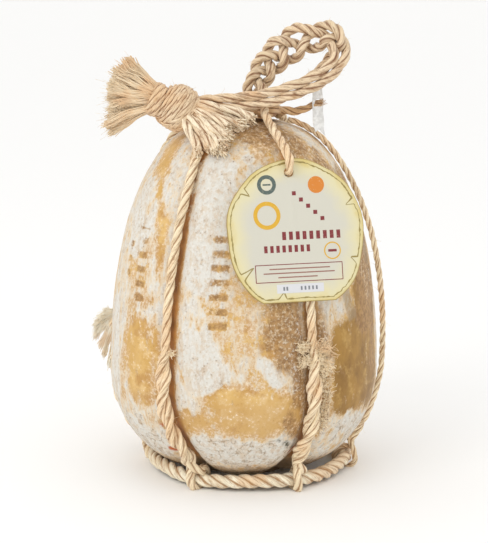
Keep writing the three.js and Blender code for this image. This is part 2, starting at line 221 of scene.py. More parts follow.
def smooth_path(points, spacing=0.8):
    """A centripetal Catmull-Rom curve through points: between two of them a cubic whose end slopes come from
    their neighbours, with each span's weight the square root of its length."""
    p = np.asarray(points, float)
    p = p[np.append(True, np.linalg.norm(np.diff(p, axis=0), axis=1) > 1e-3)]
    p = np.vstack([2 * p[0] - p[1], p, 2 * p[-1] - p[-2]])
    weights = np.sqrt(np.linalg.norm(np.diff(p, axis=0), axis=1))
    before, start, end, after = p[:-3], p[1:-2], p[2:-1], p[3:]
    w0, w1, w2 = (w[:, None] for w in (weights[:-2], weights[1:-1], weights[2:]))
    leaving = ((start - before) / w0 - (end - before) / (w0 + w1) + (end - start) / w1) * w1
    arriving = ((end - start) / w1 - (after - start) / (w1 + w2) + (after - end) / w2) * w1
    t = np.linspace(0, 1, 24, endpoint=False)[None, :, None]
    s, e, m0, m1 = (a[:, None, :] for a in (start, end, leaving, arriving))
    curve = s + m0 * t + (3 * (e - s) - 2 * m0 - m1) * t**2 + (2 * (s - e) + m0 + m1) * t**3
    return evenly(np.vstack([curve.reshape(-1, 3), p[-2]]), spacing)


def path_frame(path, guide, closed=False):
    """Directions along, across and through at each point of a path. Across is the guide with its part along
    the path taken away."""
    if closed:
        along = unit(np.roll(path, -1, axis=0) - np.roll(path, 1, axis=0))
    else:
        along = unit(np.gradient(path, axis=0))
    guide = np.broadcast_to(np.asarray(guide, float), path.shape)
    across = unit(guide - dot(guide, along) * along)
    return along, across, np.cross(along, across)


# ---- The cheese's surface, as in the frame ----


def half(above):
    """The reach and power of the upper or lower half."""
    return np.where(above, UPPER_REACH, LOWER_REACH), np.where(above, UPPER_POWER, LOWER_POWER)


def profile(rise):
    """Radius R cos(rise)^power and height widest + reach sin(rise), with the upper or lower half's values."""
    reach, power = half(rise > 0)
    return CHEESE_RADIUS * np.maximum(np.cos(rise), 1e-6) ** power, WIDEST_Z + reach * np.sin(rise)


def outward(rise, azimuth):
    """The outward normal of the smooth surface."""
    reach, power = half(rise > 0)
    level = reach * np.cos(rise)
    steep = power * CHEESE_RADIUS * np.sin(rise) * np.maximum(np.cos(rise), 1e-6) ** (power - 1)
    return unit(towards(azimuth) * column(level) + UP * column(steep))


def clear_of_cheese(points, clearance):
    """Points moved out along the surface's slope until they are a clearance away from the smooth cheese."""
    out = np.array(points, float)
    for _ in range(4):
        reach, power = half(out[..., 2] > WIDEST_Z)
        level = np.maximum(np.hypot(out[..., 0], out[..., 1]), 1e-3)
        value = (level / CHEESE_RADIUS) ** (2 / power) + ((out[..., 2] - WIDEST_Z) / reach) ** 2 - 1
        sideways = ((2 / power) * (level / CHEESE_RADIUS) ** (2 / power - 2)) / CHEESE_RADIUS**2
        upward = 2 * (out[..., 2] - WIDEST_Z) / reach**2
        slope = np.stack([out[..., 0] * sideways, out[..., 1] * sideways, upward], -1)
        steepness = np.linalg.norm(slope, axis=-1, keepdims=True)
        out = out + np.maximum(clearance - column(value) / steepness, 0) * slope / steepness
    return out


def net_azimuth(rope, rise):
    """A rope's azimuth: its widest one, blended into the low or high one away from the widest place."""
    low = mix(rope["wide"], rope["low"], ease(0, 45 * DEGREES, -rise))
    return DEGREES * np.where(rise < 0, low, mix(rope["wide"], rope["high"], ease(0, 75 * DEGREES, rise)))


def net_over(rope, rise):
    """Where a net rope passes, seen from above."""
    pull = rope["crowned"] * ease(60 * DEGREES, 86 * DEGREES, rise)
    level = towards(net_azimuth(rope, rise)) * column(profile(rise)[0])
    return level + column(pull) * np.array([CROWN[0], CROWN[1], 0])


def pressed(rope, rise):
    """How deep a rope presses into the rind."""
    if rope["doubled_to"] is None:
        return 0.8 * ease(-20 * DEGREES, 20 * DEGREES, -rise)
    low = 1.8 * ease(0, 45 * DEGREES, -rise)
    return (GROOVE_DEPTH + low) * (1 - ease(48 * DEGREES, 66 * DEGREES, rise))


def net_radius(rope, rise):
    """A rope's radius, thicker where its tail lies along it."""
    if rope["doubled_to"] is None:
        return np.full_like(rise, STAY_ROPE)
    end = rope["doubled_to"]
    return mix(DOUBLED_ROPE, NET_ROPE, ease((end - 4) * DEGREES, (end + 4) * DEGREES, rise))


def net_point(rope, rise):
    """The middle of a net rope on the cheese, at rises in radians."""
    rise = np.asarray(rise, float)
    over = net_over(rope, rise)
    level = np.linalg.norm(over, axis=-1)
    here = np.sign(rise) * np.arccos(np.minimum(1, (level / CHEESE_RADIUS) ** (1 / half(rise > 0)[1])))
    azimuth = np.arctan2(over[..., 0], -over[..., 1])
    free = ease(-20 * DEGREES, 20 * DEGREES, rise) * (1 - ease(25 * DEGREES, 58 * DEGREES, rise))
    lift = STAY_LIFT * free if rope["doubled_to"] is None else 0
    away = net_radius(rope, rise) + NET_GAP - pressed(rope, rise) + lift
    middle = over * [1, 1, 0] + column(profile(here)[1]) * UP
    return middle + outward(here, azimuth) * column(away)


# ---- Meshes ----


class Skin:
    """Points, faces, a pair of UV values for each face corner, and named values at the points."""

    def __init__(self, points, faces, uvs, marks=None):
        self.points, self.faces, self.uvs, self.marks = points, faces, uvs, marks or {}


def grid_skin(points, wrap_rows=False, u=None, v=None, marks=None, poles=None):
    """A surface over a grid of points, rows along it and columns round it. Each row closes on itself. Where
    the rows don't wrap, a pole closes each end with a fan."""
    rows, columns = points.shape[:2]
    u = np.arange(rows + 1.0) if u is None else u
    v = np.linspace(0, 1, columns + 1) if v is None else v
    i, j = np.meshgrid(np.arange(rows - (not wrap_rows)), np.arange(columns), indexing="ij")
    corner_i = np.stack([i, i, i + 1, i + 1], -1).reshape(-1, 4)
    corner_j = np.stack([j, j + 1, j + 1, j], -1).reshape(-1, 4)
    faces = [(corner_i % rows) * columns + corner_j % columns]
    uvs = [np.stack([u[corner_i], v[corner_j]], -1)]
    flat = points.reshape(-1, 3)
    marks = {name: np.asarray(values, float).reshape(-1) for name, values in (marks or {}).items()}
    if not wrap_rows:
        poles = [points[0].mean(0), points[-1].mean(0)] if poles is None else poles
        flat = np.vstack([flat, poles])
        around = np.arange(columns)
        first, last = len(flat) - 2, len(flat) - 1
        start = np.stack([np.full(columns, first), (around + 1) % columns, around], -1)
        end = (rows - 1) * columns
        finish = np.stack([np.full(columns, last), end + around, end + (around + 1) % columns], -1)
        faces += [start, finish]
        uvs += [
            np.stack([np.full((columns, 3), u[0]), np.stack([v[:-1], v[1:], v[:-1]], -1)], -1),
            np.stack([np.full((columns, 3), u[rows - 1]), np.stack([v[:-1], v[:-1], v[1:]], -1)], -1),
        ]
        marks = {
            name: np.concatenate([values, [values[:columns].mean(), values[-columns:].mean()]])
            for name, values in marks.items()
        }
    return Skin(flat, faces, uvs, marks)


def tubes(paths, radii, shade):
    """Many thin tubes at once: a square ring at each point of each path, turned to face along it, with both
    ends closed. Shade is one value for each tube."""
    count, steps = paths.shape[:2]
    along = unit(np.gradient(paths, axis=1))
    guide = np.where(np.abs(along[:, :1, 2:]) < 0.8, [0.0, 0.0, 1.0], [1.0, 0.0, 0.0])
    across = unit(np.cross(along, np.broadcast_to(guide, along.shape)))
    through = np.cross(along, across)
    turn = np.arange(4) * math.pi / 2
    ring = circle(across[:, :, None], through[:, :, None], turn)
    points = (paths[:, :, None] + ring * radii[:, :, None, None]).reshape(-1, 3)
    first = (np.arange(count) * steps * 4)[:, None, None]
    here = first + (np.arange(steps - 1) * 4)[None, :, None] + np.arange(4)
    beside = first + (np.arange(steps - 1) * 4)[None, :, None] + (np.arange(4) + 1) % 4
    sides = np.stack([here, beside, beside + 4, here + 4], -1).reshape(-1, 4)
    starts = first[:, 0] + np.array([3, 2, 1, 0])
    ends = first[:, 0] + (steps - 1) * 4 + np.arange(4)
    faces = np.vstack([sides, starts, ends])
    share = np.broadcast_to(np.linspace(0, 1, steps)[None, :, None], (count, steps, 4)).reshape(-1)
    shades = np.broadcast_to(np.asarray(shade)[:, None, None], (count, steps, 4)).reshape(-1)
    uvs = np.stack([share[faces] * 0.1, shades[faces]], -1)
    # The crease value, 0.3 at each root and 0 at the tip, makes the finish paint shade towards the roots.
    return Skin(points, [faces], [uvs], {"crease": 0.3 * (1 - share), "shade": shades})


def piece(name, skins, material, replaces=(), smooth=True):
    """Joins skins into one mesh object in metres, which rides on the frame's only body."""
    points = np.vstack([s.points for s in skins]) * 0.001
    offsets = np.cumsum([0] + [len(s.points) for s in skins[:-1]])
    faces = [f + offset for s, offset in zip(skins, offsets) for f in s.faces]
    corners = np.concatenate([f.reshape(-1) for f in faces])
    sizes = np.concatenate([np.full(len(f), f.shape[1]) for f in faces])
    uvs = np.concatenate([uv.reshape(-1, 2) for s in skins for uv in s.uvs])
    mesh = bpy.data.meshes.new(name)
    mesh.vertices.add(len(points))
    mesh.vertices.foreach_set("co", points.astype(np.float32).ravel())
    mesh.loops.add(len(corners))
    mesh.loops.foreach_set("vertex_index", corners.astype(np.int32))
    mesh.polygons.add(len(sizes))
    mesh.polygons.foreach_set("loop_start", np.concatenate([[0], np.cumsum(sizes)[:-1]]).astype(np.int32))
    mesh.polygons.foreach_set("use_smooth", np.full(len(sizes), smooth))
    layer = mesh.uv_layers.new(name="along")
    layer.data.foreach_set("uv", uvs.astype(np.float32).ravel())
    for mark in skins[0].marks:
        values = np.concatenate([s.marks[mark] for s in skins])
        attribute = mesh.attributes.new(mark, "FLOAT", "POINT")
        attribute.data.foreach_set("value", values.astype(np.float32))
    mesh.update(calc_edges=True)
    mesh.validate()
    mesh.materials.append(material)
    thing = bpy.data.objects.new(name, mesh)
    bpy.context.scene.collection.objects.link(thing)
    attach(thing, "root")
    if replaces:
        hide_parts(*replaces)


# ---- Rope ----


def strand_section(count, tight, each):
    """The outline of round strands set round a middle: points at most 1 from it, each point's strand, and its
    place on that strand from -1 to 1, where it meets the next one in a crease. Tighter strands meet higher."""
    size = tight * math.sin(math.pi / count)
    strand, out = size / (1 + size), 1 / (1 + size)
    half = math.pi / count
    crease = out * math.cos(half) + math.sqrt(strand**2 - (out * math.sin(half)) ** 2)
    limit = math.atan2(crease * math.sin(half), crease * math.cos(half) - out)
    place = np.tile(np.linspace(-1, 1, each, endpoint=False) + 1 / each, count)
    number = np.repeat(np.arange(count), each)
    middle = number * 2 * half
    x = out * np.cos(middle) + strand * np.cos(middle + place * limit)
    y = out * np.sin(middle) + strand * np.sin(middle + place * limit)
    return x, y, number, place


def laid_rope(path, radius, guide, seed, closed=False, lay=None, count=3, tight=1.5, uneven=1.0):
    """Round strands laid together. Each ring's outline is that of circles set round the middle, and it turns
    once in each lay's length. Every strand's thickness wanders a little, and fine ridges run along it."""
    travelled = lengths_along(path)
    length = travelled[-1] + (np.linalg.norm(path[0] - path[-1]) if closed else 0)
    radius = np.broadcast_to(np.asarray(radius, float), travelled.shape)
    pitch = np.broadcast_to(settings().lay if lay is None else lay, travelled.shape) * float(np.mean(radius))
    turn = 2 * math.pi * np.append(0, np.cumsum(np.diff(travelled) / pitch[1:]))
    if closed:
        turn = 2 * math.pi * travelled / length * round(length / pitch[0])
    _, across, through = path_frame(path, guide, closed)
    x, y, number, place = strand_section(count, tight, 16 if count == 3 else 11)
    thick = np.stack([1 + 0.07 * uneven * wander(travelled, 9, seed + k) for k in range(count)], -1)[:, number]
    ridge_at = np.broadcast_arrays((place * 3.5 + number * 40)[None], (travelled / 5)[:, None], float(seed))
    ridges = cloud(np.stack(ridge_at, -1), 1.0, seed, octaves=3, keep=0.75)
    thick = thick + 0.10 * ridges * (1 - np.abs(place) ** 4)
    turn = (seed + turn)[:, None]
    flat_x = (x * np.cos(turn) - y * np.sin(turn)) * thick * radius[:, None]
    flat_y = (x * np.sin(turn) + y * np.cos(turn)) * thick * radius[:, None]
    points = path[:, None] + across[:, None] * flat_x[..., None] + through[:, None] * flat_y[..., None]
    points[..., 2] = np.maximum(points[..., 2], 0.12)
    # Crease is high in the creases between strands and in the hollows between the fine ridges; the ropes'
    # finish paints shade there.
    crease = np.clip(np.abs(place) ** 4 * (1 + 0.4 * ridges) + np.clip(-1.7 * ridges - 0.06, 0, 0.8), 0, 1)
    shade = np.stack([0.5 + 0.5 * wander(travelled, 14, seed + 50 + k) for k in range(count)], -1)[:, number]
    u = np.append(travelled, length) * 0.01
    v = np.linspace(0, count, len(x) + 1) + seed * 0.37
    return grid_skin(points, wrap_rows=closed, u=u, v=v, marks={"crease": crease, "shade": shade})


def stray_fibres(path, radius, guide, count, seed, length=4.0):
    """Short fibres that leave a rope's surface at a low angle and bend away from it."""
    rng = np.random.default_rng(seed)
    along, across, through = path_frame(path, guide)
    radius = np.broadcast_to(np.asarray(radius, float), (len(path),))
    at = rng.integers(3, len(path) - 3, count)
    turn = rng.uniform(0, 2 * math.pi, count)
    out = circle(across[at], through[at], turn)
    way = unit(along[at] * column(rng.choice([-1.0, 1.0], count)) + 0.5 * scatter(rng, count))
    root = path[at] + out * column(radius[at] * 0.8)
    reach = column(length * rng.uniform(0.5, 1.3, count))
    control = root + (way * 0.6 + out * 0.25) * reach
    tip = root + (way * 0.8 + out * rng.uniform(0.2, 0.9, (count, 1))) * reach
    return bent_fibres(root, control, tip, rng, 0.09)


def fuzzy_rope(path, radius, guide, seed, fibres, fibre_seed, lay=None):
    """Laid rope with stray fibres."""
    rope = laid_rope(path, radius, guide, seed, lay=lay)
    return [rope, stray_fibres(path, radius, guide, fibres, fibre_seed)]


def bent_fibres(root, control, tip, rng, thickness, steps=6, taper=0.35, curl=0.0, crimp=None, shade=None):
    """Fibres along quadratic curves from root over control to tip, thinner towards the tip. A crimp sways
    each one by its own direction times a sine of its own phase, so a lock's fibres can wave together."""
    t = np.linspace(0, 1, steps)[None, :, None]
    paths = (1 - t) ** 2 * root[:, None] + 2 * t * (1 - t) * control[:, None] + t**2 * tip[:, None]
    if curl:
        sideways = rng.normal(size=(len(root), 1, 3))
        paths = paths + curl * t * (sideways * np.sin(t * math.pi * 2 + rng.uniform(0, 6, (len(root), 1, 1))))
    if crimp is not None:
        sways, phase, waves = crimp
        paths = paths + sways[:, None] * t**0.7 * np.sin(2 * math.pi * waves * t + column(phase)[:, None])
    paths[..., 2] = np.maximum(paths[..., 2], 0.3)
    radii = thickness * rng.uniform(0.7, 1.3, (len(root), 1)) * mix(1, taper, np.linspace(0, 1, steps))
    return tubes(paths, radii, rng.uniform(0, 1, len(root)) if shade is None else shade)


def curled_fibres(root, way, reach, size, waves, rng, thickness):
    """Fibres that set off along a way and coil: root + way reach t + size (a (cos - 1) + b sin), where the
    angle grows with t and a and b are random directions. They stay clear of the cheese."""
    count, steps = len(root), 16
    t = np.linspace(0, 1, steps)[None, :, None]
    first, second = (unit(rng.normal(size=(count, 1, 3))) for _ in range(2))
    turn = 2 * math.pi * t * rng.uniform(0.5, 1.3, (count, 1, 1)) * waves
    coil = first * (np.cos(turn) - 1) + second * np.sin(turn)
    paths = root[:, None] + (way * reach)[:, None] * t + size * rng.uniform(0.4, 1.2, (count, 1, 1)) * coil
    paths = clear_of_cheese(paths, 0.3)
    radii = thickness * rng.uniform(0.7, 1.3, (count, 1)) * mix(1, 0.6, np.linspace(0, 1, steps))
    return tubes(paths, radii, rng.uniform(0, 1, count))


# ---- Nodes ----


def srgb(red, green, blue):
    """A colour from its everyday values of 0 to 255, as the linear values that shaders use."""
    c = np.array([red, green, blue]) / 255
    linear = np.where(c <= 0.04045, c / 12.92, ((c + 0.055) / 1.055) ** 2.4)
    return (*(float(x) for x in linear), 1.0)


def chosen(name):
    """A colour from the settings, with its alpha."""
    return (*getattr(settings(), name), 1)


class Value:
    """An output in a node tree. Sums, differences and products with it are Math nodes."""

    def __init__(self, tree, socket):
        self.tree, self.socket = tree, socket

    def __add__(self, other):
        return maths("ADD", self, other)

    def __sub__(self, other):
        return maths("SUBTRACT", self, other)

    def __rsub__(self, other):
        return maths("SUBTRACT", other, self)

    def __mul__(self, other):
        return maths("MULTIPLY", self, other)


def add(tree, kind, inputs=None, output=0, **fields):
    """One output of a new node, with its fields set and its inputs given values or linked. Without a tree,
    the node goes into that of its inputs."""
    inputs = inputs or {}
    tree = tree or next(value.tree for value in inputs.values() if isinstance(value, Value))
    made = tree.nodes.new(kind)
    for name, value in fields.items():
        setattr(made, name, value)
    for name, value in inputs.items():
        if isinstance(value, Value):
            tree.links.new(value.socket, made.inputs[name])
        else:
            made.inputs[name].default_value = value
    return Value(tree, made.outputs[output]) if made.outputs else None


def maths(operation, *values):
    """A Math node's result."""
    return add(None, "ShaderNodeMath", dict(enumerate(values)), operation=operation)


def blend(share, first, second, mode="MIX"):
    """A blend of two colours."""
    return add(None, "ShaderNodeMix", {0: share, 6: first, 7: second}, 2, data_type="RGBA", blend_type=mode)


def coat(ground, *layers):
    """A colour under layers, each with its share and its tint, given as an everyday or a node's colour."""
    for share, tint in layers:
        ground = blend(share, ground, tint if isinstance(tint, Value) else srgb(*tint))
    return ground


def rising(value, low, high):
    """A smooth step: 0 below low, 1 above high."""
    return add(None, "ShaderNodeMapRange", {0: value, 1: low, 2: high}, interpolation_type="SMOOTHSTEP")


def grain(where, scale, detail, roughness, output=0):
    """Fractal noise, mostly 0.3 to 0.7."""
    inputs = {"Vector": where, "Scale": scale, "Detail": detail, "Roughness": roughness}
    return add(None, "ShaderNodeTexNoise", inputs, output)


def stretched(where, x, y, z):
    """A place scaled along each axis, so that noise read there is drawn out."""
    return add(None, "ShaderNodeMapping", {"Vector": where, "Scale": (x, y, z)})


def bumped(height, distance, strength):
    """A normal tilted by a height."""
    return add(None, "ShaderNodeBump", {"Height": height, "Distance": distance, "Strength": strength})


def mark(tree, name):
    """A named value of the mesh's points."""
    return add(tree, "ShaderNodeAttribute", output="Fac", attribute_name=name)


def object_place(tree):
    """The place in metres, in the object's own frame."""
    return add(tree, "ShaderNodeTexCoord", output="Object")


def finish_material(name, make):
    """A material whose Principled BSDF is fed by make(tree), which returns the shader's inputs."""
    if name in bpy.data.materials:
        return bpy.data.materials[name]
    material = bpy.data.materials.new(name)
    material.use_nodes = True
    tree = material.node_tree
    tree.nodes.clear()
    shader = add(tree, "ShaderNodeBsdfPrincipled", make(tree))
    add(tree, "ShaderNodeOutputMaterial", {"Surface": shader})
    return material


def fibre_group():
    """Straw fibres that run along the UV map's first direction: streaks of pale and deep colour, with painted
    shade that darkens them where the crease value is high, in the creases between strands."""
    if "straw_fibres" in bpy.data.node_groups:
        return bpy.data.node_groups["straw_fibres"]
    tree = bpy.data.node_groups.new("straw_fibres", "ShaderNodeTree")
    defaults = {"Pale": (0.8, 0.6, 0.36, 1), "Deep": (0.4, 0.23, 0.1, 1)}
    defaults |= {"Crease": 0.0, "Shade": 0.5, "Fineness": 1.0, "Wear": 1.0}
    for title, default in defaults.items():
        kind = "NodeSocketFloat" if isinstance(default, float) else "NodeSocketColor"
        tree.interface.new_socket(title, in_out="INPUT", socket_type=kind).default_value = default
    for title in ("Color", "Height", "Roughness"):
        kind = "NodeSocketColor" if title == "Color" else "NodeSocketFloat"
        tree.interface.new_socket(title, in_out="OUTPUT", socket_type=kind)
    given = {socket.name: Value(tree, socket) for socket in tree.nodes.new("NodeGroupInput").outputs}
    where = add(tree, "ShaderNodeUVMap", uv_map="along")
    body = object_place(tree)
    fine = grain(stretched(where, 9, 6.5, 1), given["Fineness"], 5, 0.7)
    broad = grain(stretched(where, 5, 2, 1), 1.0, 2, 0.5)
    blotches = grain(body, 60, 3, 0.6)
    tone = grain(body, 24, 3, 0.6)
    dashes = grain(stretched(where, 14, 3.5, 1), given["Fineness"], 5, 0.75)
    streaks = fine * 0.62 + broad * 0.38
    dashed = rising(dashes, 0.53, 0.66) * given["Wear"]
    worn = coat(
        blend(rising(streaks, 0.53, 0.38) * 0.85, given["Pale"], given["Deep"]),
        (rising(tone, 0.50, 0.62) * 0.50, (230, 184, 132)),
        (rising(tone, 0.48, 0.37) * 0.45, (218, 196, 160)),
        (rising(given["Shade"], 0.2, 1.0) * 0.25, (236, 214, 176)),
        (rising(blotches, 0.50, 0.34) * 0.30, (248, 232, 204)),
        (rising(dashes, 0.44, 0.30) * 0.50, (250, 236, 208)),
        (dashed * 0.65, (146, 104, 66)),
    )
    # Painted shade: a darker copy of the deep straw, blended in by the crease value.
    crease_shade = rising(given["Crease"], 0.10, 1.0) * 0.88
    between = blend(1.0, given["Deep"], (0.66, 0.47, 0.28, 1), "MULTIPLY")
    height, roughness = fine + dashes * 0.6, fine * 0.3 + 0.42
    results = {"Color": blend(crease_shade, worn, between), "Height": height, "Roughness": roughness}
    add(tree, "NodeGroupOutput", results)
    return tree


def straw(name="straw_rope", pale=None, deep=None, fineness=1.0, bump=0.5, wear=1.0):
    """The ropes' finish. Its two colours are everyday ones, or those of the settings."""

    def make(tree):
        inputs = {
            "Pale": srgb(*pale) if pale else chosen("straw"),
            "Deep": srgb(*deep) if deep else chosen("straw_shade"),
            "Crease": mark(tree, "crease"),
            "Shade": mark(tree, "shade"),
            "Fineness": fineness,
            "Wear": wear,
        }
        made = add(tree, "ShaderNodeGroup", inputs, node_tree=fibre_group()).socket.node.outputs
        return {
            "Base Color": Value(tree, made["Color"]),
            "Roughness": Value(tree, made["Roughness"]),
            "Normal": bumped(Value(tree, made["Height"]), 0.0006, bump),
            "Sheen Weight": 0.15,
            "Specular IOR Level": 0.35,
        }

    return finish_material(name, make)


def rind_material():
    """Amber wax under a white mould bloom, with brown, ochre and grey zones and fine dark specks."""

    def make(tree):
        body = object_place(tree)
        height_above = add(tree, "ShaderNodeSeparateXYZ", {0: body}, 2)
        soft = grain(body, 45, 5, 0.6)
        broad = grain(stretched(body, 1, 1, 0.55), 38, 5, 0.6)
        mottle = grain(body, 130, 7, 0.65)
        ragged = grain(stretched(body, 1, 1, 0.4), 170, 9, 0.68)
        patchy = grain(stretched(body, 1, 1, 0.7), 210, 7, 0.72)
        drips = grain(stretched(body, 1, 1, 0.2), 240, 6, 0.65)
        small = grain(body, 330, 5, 0.62)
        crumbs = grain(body, 520, 6, 0.7)
        fine = grain(body, 1300, 3, 0.6)

        cover = mark(tree, "bloom") + (ragged - 0.5) * 1.5
        dusting = rising(cover, 0.20, 0.50) * (rising(crumbs, 0.50, 0.60) * 0.8)
        covered = maths("MAXIMUM", rising(cover, 0.45, 0.62), dusting)
        fringe = rising(cover, 0.30, 0.47) * rising(small, 0.40, 0.60)
        veil = rising(cover, 0.28, 0.62) * rising(mottle, 0.30, 0.60)

        scuffed = rising(mark(tree, "bloom"), 0.16, 0.40) * rising(mottle, 0.40, 0.54)
        flecks = rising(crumbs, 0.56, 0.64) * rising(mottle, 0.51, 0.64)
        pitted = rising(crumbs, 0.42, 0.34) * rising(mottle, 0.50, 0.40)
        beige = coat(srgb(190, 150, 106), (rising(crumbs, 0.42, 0.58), (232, 208, 176)))
        # Dark orange-brown of bare rind in shade: the painted shadow beside the ropes.
        shaded = coat(srgb(142, 90, 44), (rising(soft, 0.4, 0.6), (184, 124, 62)))
        ochre = coat(srgb(136, 98, 38), (rising(broad, 0.38, 0.62), (172, 130, 58)))
        ochre = coat(ochre, (rising(mottle, 0.5, 0.7), (186, 148, 80)))
        wax = coat(
            chosen("amber"),
            (rising(broad, 0.38, 0.60), (218, 180, 112)),
            (rising(soft, 0.50, 0.64), (188, 142, 76)),
            (rising(mottle, 0.48, 0.66) * 0.40, (238, 214, 172)),
            (rising(height_above, 0.074, 0.060) * 0.45, (190, 150, 98)),
            (scuffed * 0.75, beige),
            (flecks * 0.8, (240, 226, 202)),
            (pitted * 0.6, (166, 120, 70)),
            # Painted shadow of each rope on the bare rind beside it.
            (mark(tree, "groove") * 0.92, shaded),
            (rising(mark(tree, "ochre") + soft * 0.3, 0.30, 0.85), ochre),
            (fringe * 0.55, (186, 138, 84)),
            (veil * 0.75, (226, 204, 170)),
        )

        swirl = grain(body, 90.0, 4.0, 0.5, output=1)
        swirl = add(tree, "ShaderNodeVectorMath", {0: swirl, "Scale": 0.022}, operation="SCALE")
        warped = add(tree, "ShaderNodeVectorMath", {0: body, 1: swirl}, operation="ADD")
        cells = {"Vector": warped, "Scale": 120.0}
        flakes = add(tree, "ShaderNodeTexVoronoi", cells, feature="DISTANCE_TO_EDGE")
        cracked = rising(flakes, 0.10, 0.0) * rising(patchy, 0.54, 0.44)
        cracked = cracked * (rising(height_above, 0.07, 0.03) * 0.6 + 0.15)
        white = coat(
            blend(rising(small, 0.30, 0.50), srgb(208, 194, 174), chosen("bloom")),
            (rising(crumbs, 0.48, 0.66) * 0.5, (236, 232, 226)),
            (rising(patchy, 0.49, 0.36) * 0.65, (204, 182, 156)),
            (rising(drips, 0.50, 0.36) * 0.55, (208, 188, 162)),
            (rising(mottle, 0.46, 0.34) * 0.5, (212, 194, 168)),
            (cracked, (150, 128, 100)),
            (rising(crumbs, 0.41, 0.31) * 0.4, (164, 146, 122)),
            (rising(cover, 0.72, 0.52), (226, 210, 184)),
        )

        # The brown and grey marks also hold the band low down above the foot rope: dirt and painted shade.
        brown_zone = mark(tree, "brown") + (ragged - 0.5) * 2.4
        browned = rising(brown_zone, 0.10, 0.85) * (1.0 - rising(crumbs, 0.49, 0.62) * 0.7)
        earth = coat(srgb(138, 100, 56), (rising(small, 0.38, 0.62), (178, 138, 88)))
        grey_zone = mark(tree, "grey") + (drips - 0.5) * 2.0
        dots = add(tree, "ShaderNodeTexVoronoi", {"Vector": body, "Scale": 360.0})
        dotted = rising(dots, 0.26, 0.12) * rising(patchy, 0.52, 0.42) * (covered * 0.8 + 0.2)
        skin = coat(
            blend(covered, wax, white),
            (browned * 0.92, earth),
            (rising(grey_zone, 0.35, 0.9) * 0.6, (160, 140, 112)),
            (dotted * 0.6, (122, 98, 76)),
            (mark(tree, "rust"), (184, 96, 48)),
            (mark(tree, "dark") * rising(crumbs, 0.38, 0.52), (74, 70, 50)),
        )
        return {
            "Base Color": skin,
            "Roughness": covered * 0.38 + 0.46,
            "Normal": bumped(covered * 0.5 + crumbs * covered * 0.6 + fine * 0.12, 0.0006, 0.45),
            "Specular IOR Level": 0.4,
        }

    return finish_material("mould_rind", make)


def card_material():
    """Coated card: cream in the middle, yellowed towards its edge, with faint stains."""

    def make(tree):
        body = object_place(tree)
        stains = grain(body, 60, 5, 0.6)
        edge = mark(tree, "edge") + (stains - 0.5) * 16.0
        card = coat(chosen("card"), (rising(edge, 17.0, 2.0), (222, 213, 170)))
        card = blend(rising(edge, 6.0, -2.0), card, chosen("card_edge"))
        return {
            "Base Color": coat(card, (rising(mark(tree, "edge"), 0.9, 0.0), (158, 132, 66))),
            "Roughness": stains * 0.2 + 0.38,
            "Normal": bumped(grain(body, 1500, 3, 0.6), 0.0001, 0.3),
            "Specular IOR Level": 0.45,
        }

    return finish_material("aged_card", make)


def ink(name, *colour):
    """Printed ink with faint wear."""

    def make(tree):
        worn = rising(grain(object_place(tree), 900, 4, 0.6), 0.56, 0.75)
        faded = coat(srgb(*colour), (worn * 0.35, (226, 218, 190)))
        return {"Base Color": faded, "Roughness": worn * 0.2 + 0.45}

    return finish_material("ink_" + name, make)


def paper_material():
    """Crumpled white paper, greyer in the crumples' hollows: painted shade."""

    def make(tree):
        crumple = grain(object_place(tree), 300, 5, 0.6)
        return {
            # Painted shade: grey where the crumple, which also bumps the paper, is low.
            "Base Color": coat(srgb(214, 213, 210), (rising(crumple, 0.35, 0.7), (242, 242, 240))),
            "Roughness": crumple * 0.2 + 0.45,
            "Normal": bumped(crumple, 0.0008, 0.5),
        }

    return finish_material("white_paper", make)


# ---- The cheese ----

# Strokes on the rind, as the azimuths in degrees and heights of their two ends and their half width.
BARE = [
    (-69, 225, -62, 213, 8), (-62, 222, -57, 207, 5), (-58, 210, -47, 186, 2.6), (-47, 186, -42.5, 172, 3.4),
    (-43, 179, -42, 168, 4.6), (-42.5, 172, -41, 150, 3.0), (-51, 104, -50, 72, 13), (-45, 98, -46, 66, 9),
    (-40.5, 108, -38.5, 66, 3.2), (-8, 66, 10, 63, 13), (-6, 53, 9, 50, 9), (8, 64, 18, 60, 10),
    (-26, 50, -12, 55, 7), (102, 122, 112, 72, 12), (128, 205, 122, 176, 6), (122, 176, 124, 150, 3),
    (176, 168, 172, 140, 6), (172, 134, 169, 112, 10), (-176, 60, 174, 56, 9), (171, 54, 163, 50, 13),
    (-128, 150, -131, 92, 10), (-120, 62, -136, 48, 8), (-84, 150, -86, 118, 4),
]
THIN = [
    (48, 146, 54, 116, 10), (-4, 150, 4, 96, 15), (-13, 128, -6, 100, 7), (8, 128, 6, 90, 14),
    (-60, 146, -46, 128, 8), (-60, 100, -64, 60, 6), (48, 215, 60, 180, 16), (-8, 228, -28, 232, 9),
    (0, 190, 8, 160, 9), (-62, 182, -56, 118, 7), (12, 226, 24, 205, 9), (22, 62, 25, 38, 7),
    (-34, 120, -33, 60, 4), (110, 190, 90, 150, 15), (-150, 200, -130, 180, 16), (160, 90, 178, 80, 16),
]
BROWN = [
    (17, 134, 19, 96, 12), (22, 98, 24, 66, 6), (12, 126, 10, 104, 6), (44, 226, 28, 233, 11),
    (18, 230, 0, 236, 8), (-22, 224, -34, 228, 4), (31, 118, 33, 96, 8), (33, 84, 34, 46, 7),
    (95, 222, 130, 215, 16), (-160, 205, -175, 190, 14), (58, 212, 70, 160, 11), (68, 170, 66, 112, 14),
    (78, 200, 76, 130, 12), (74, 110, 72, 80, 8), (20, 52, 24, 44, 6),
]
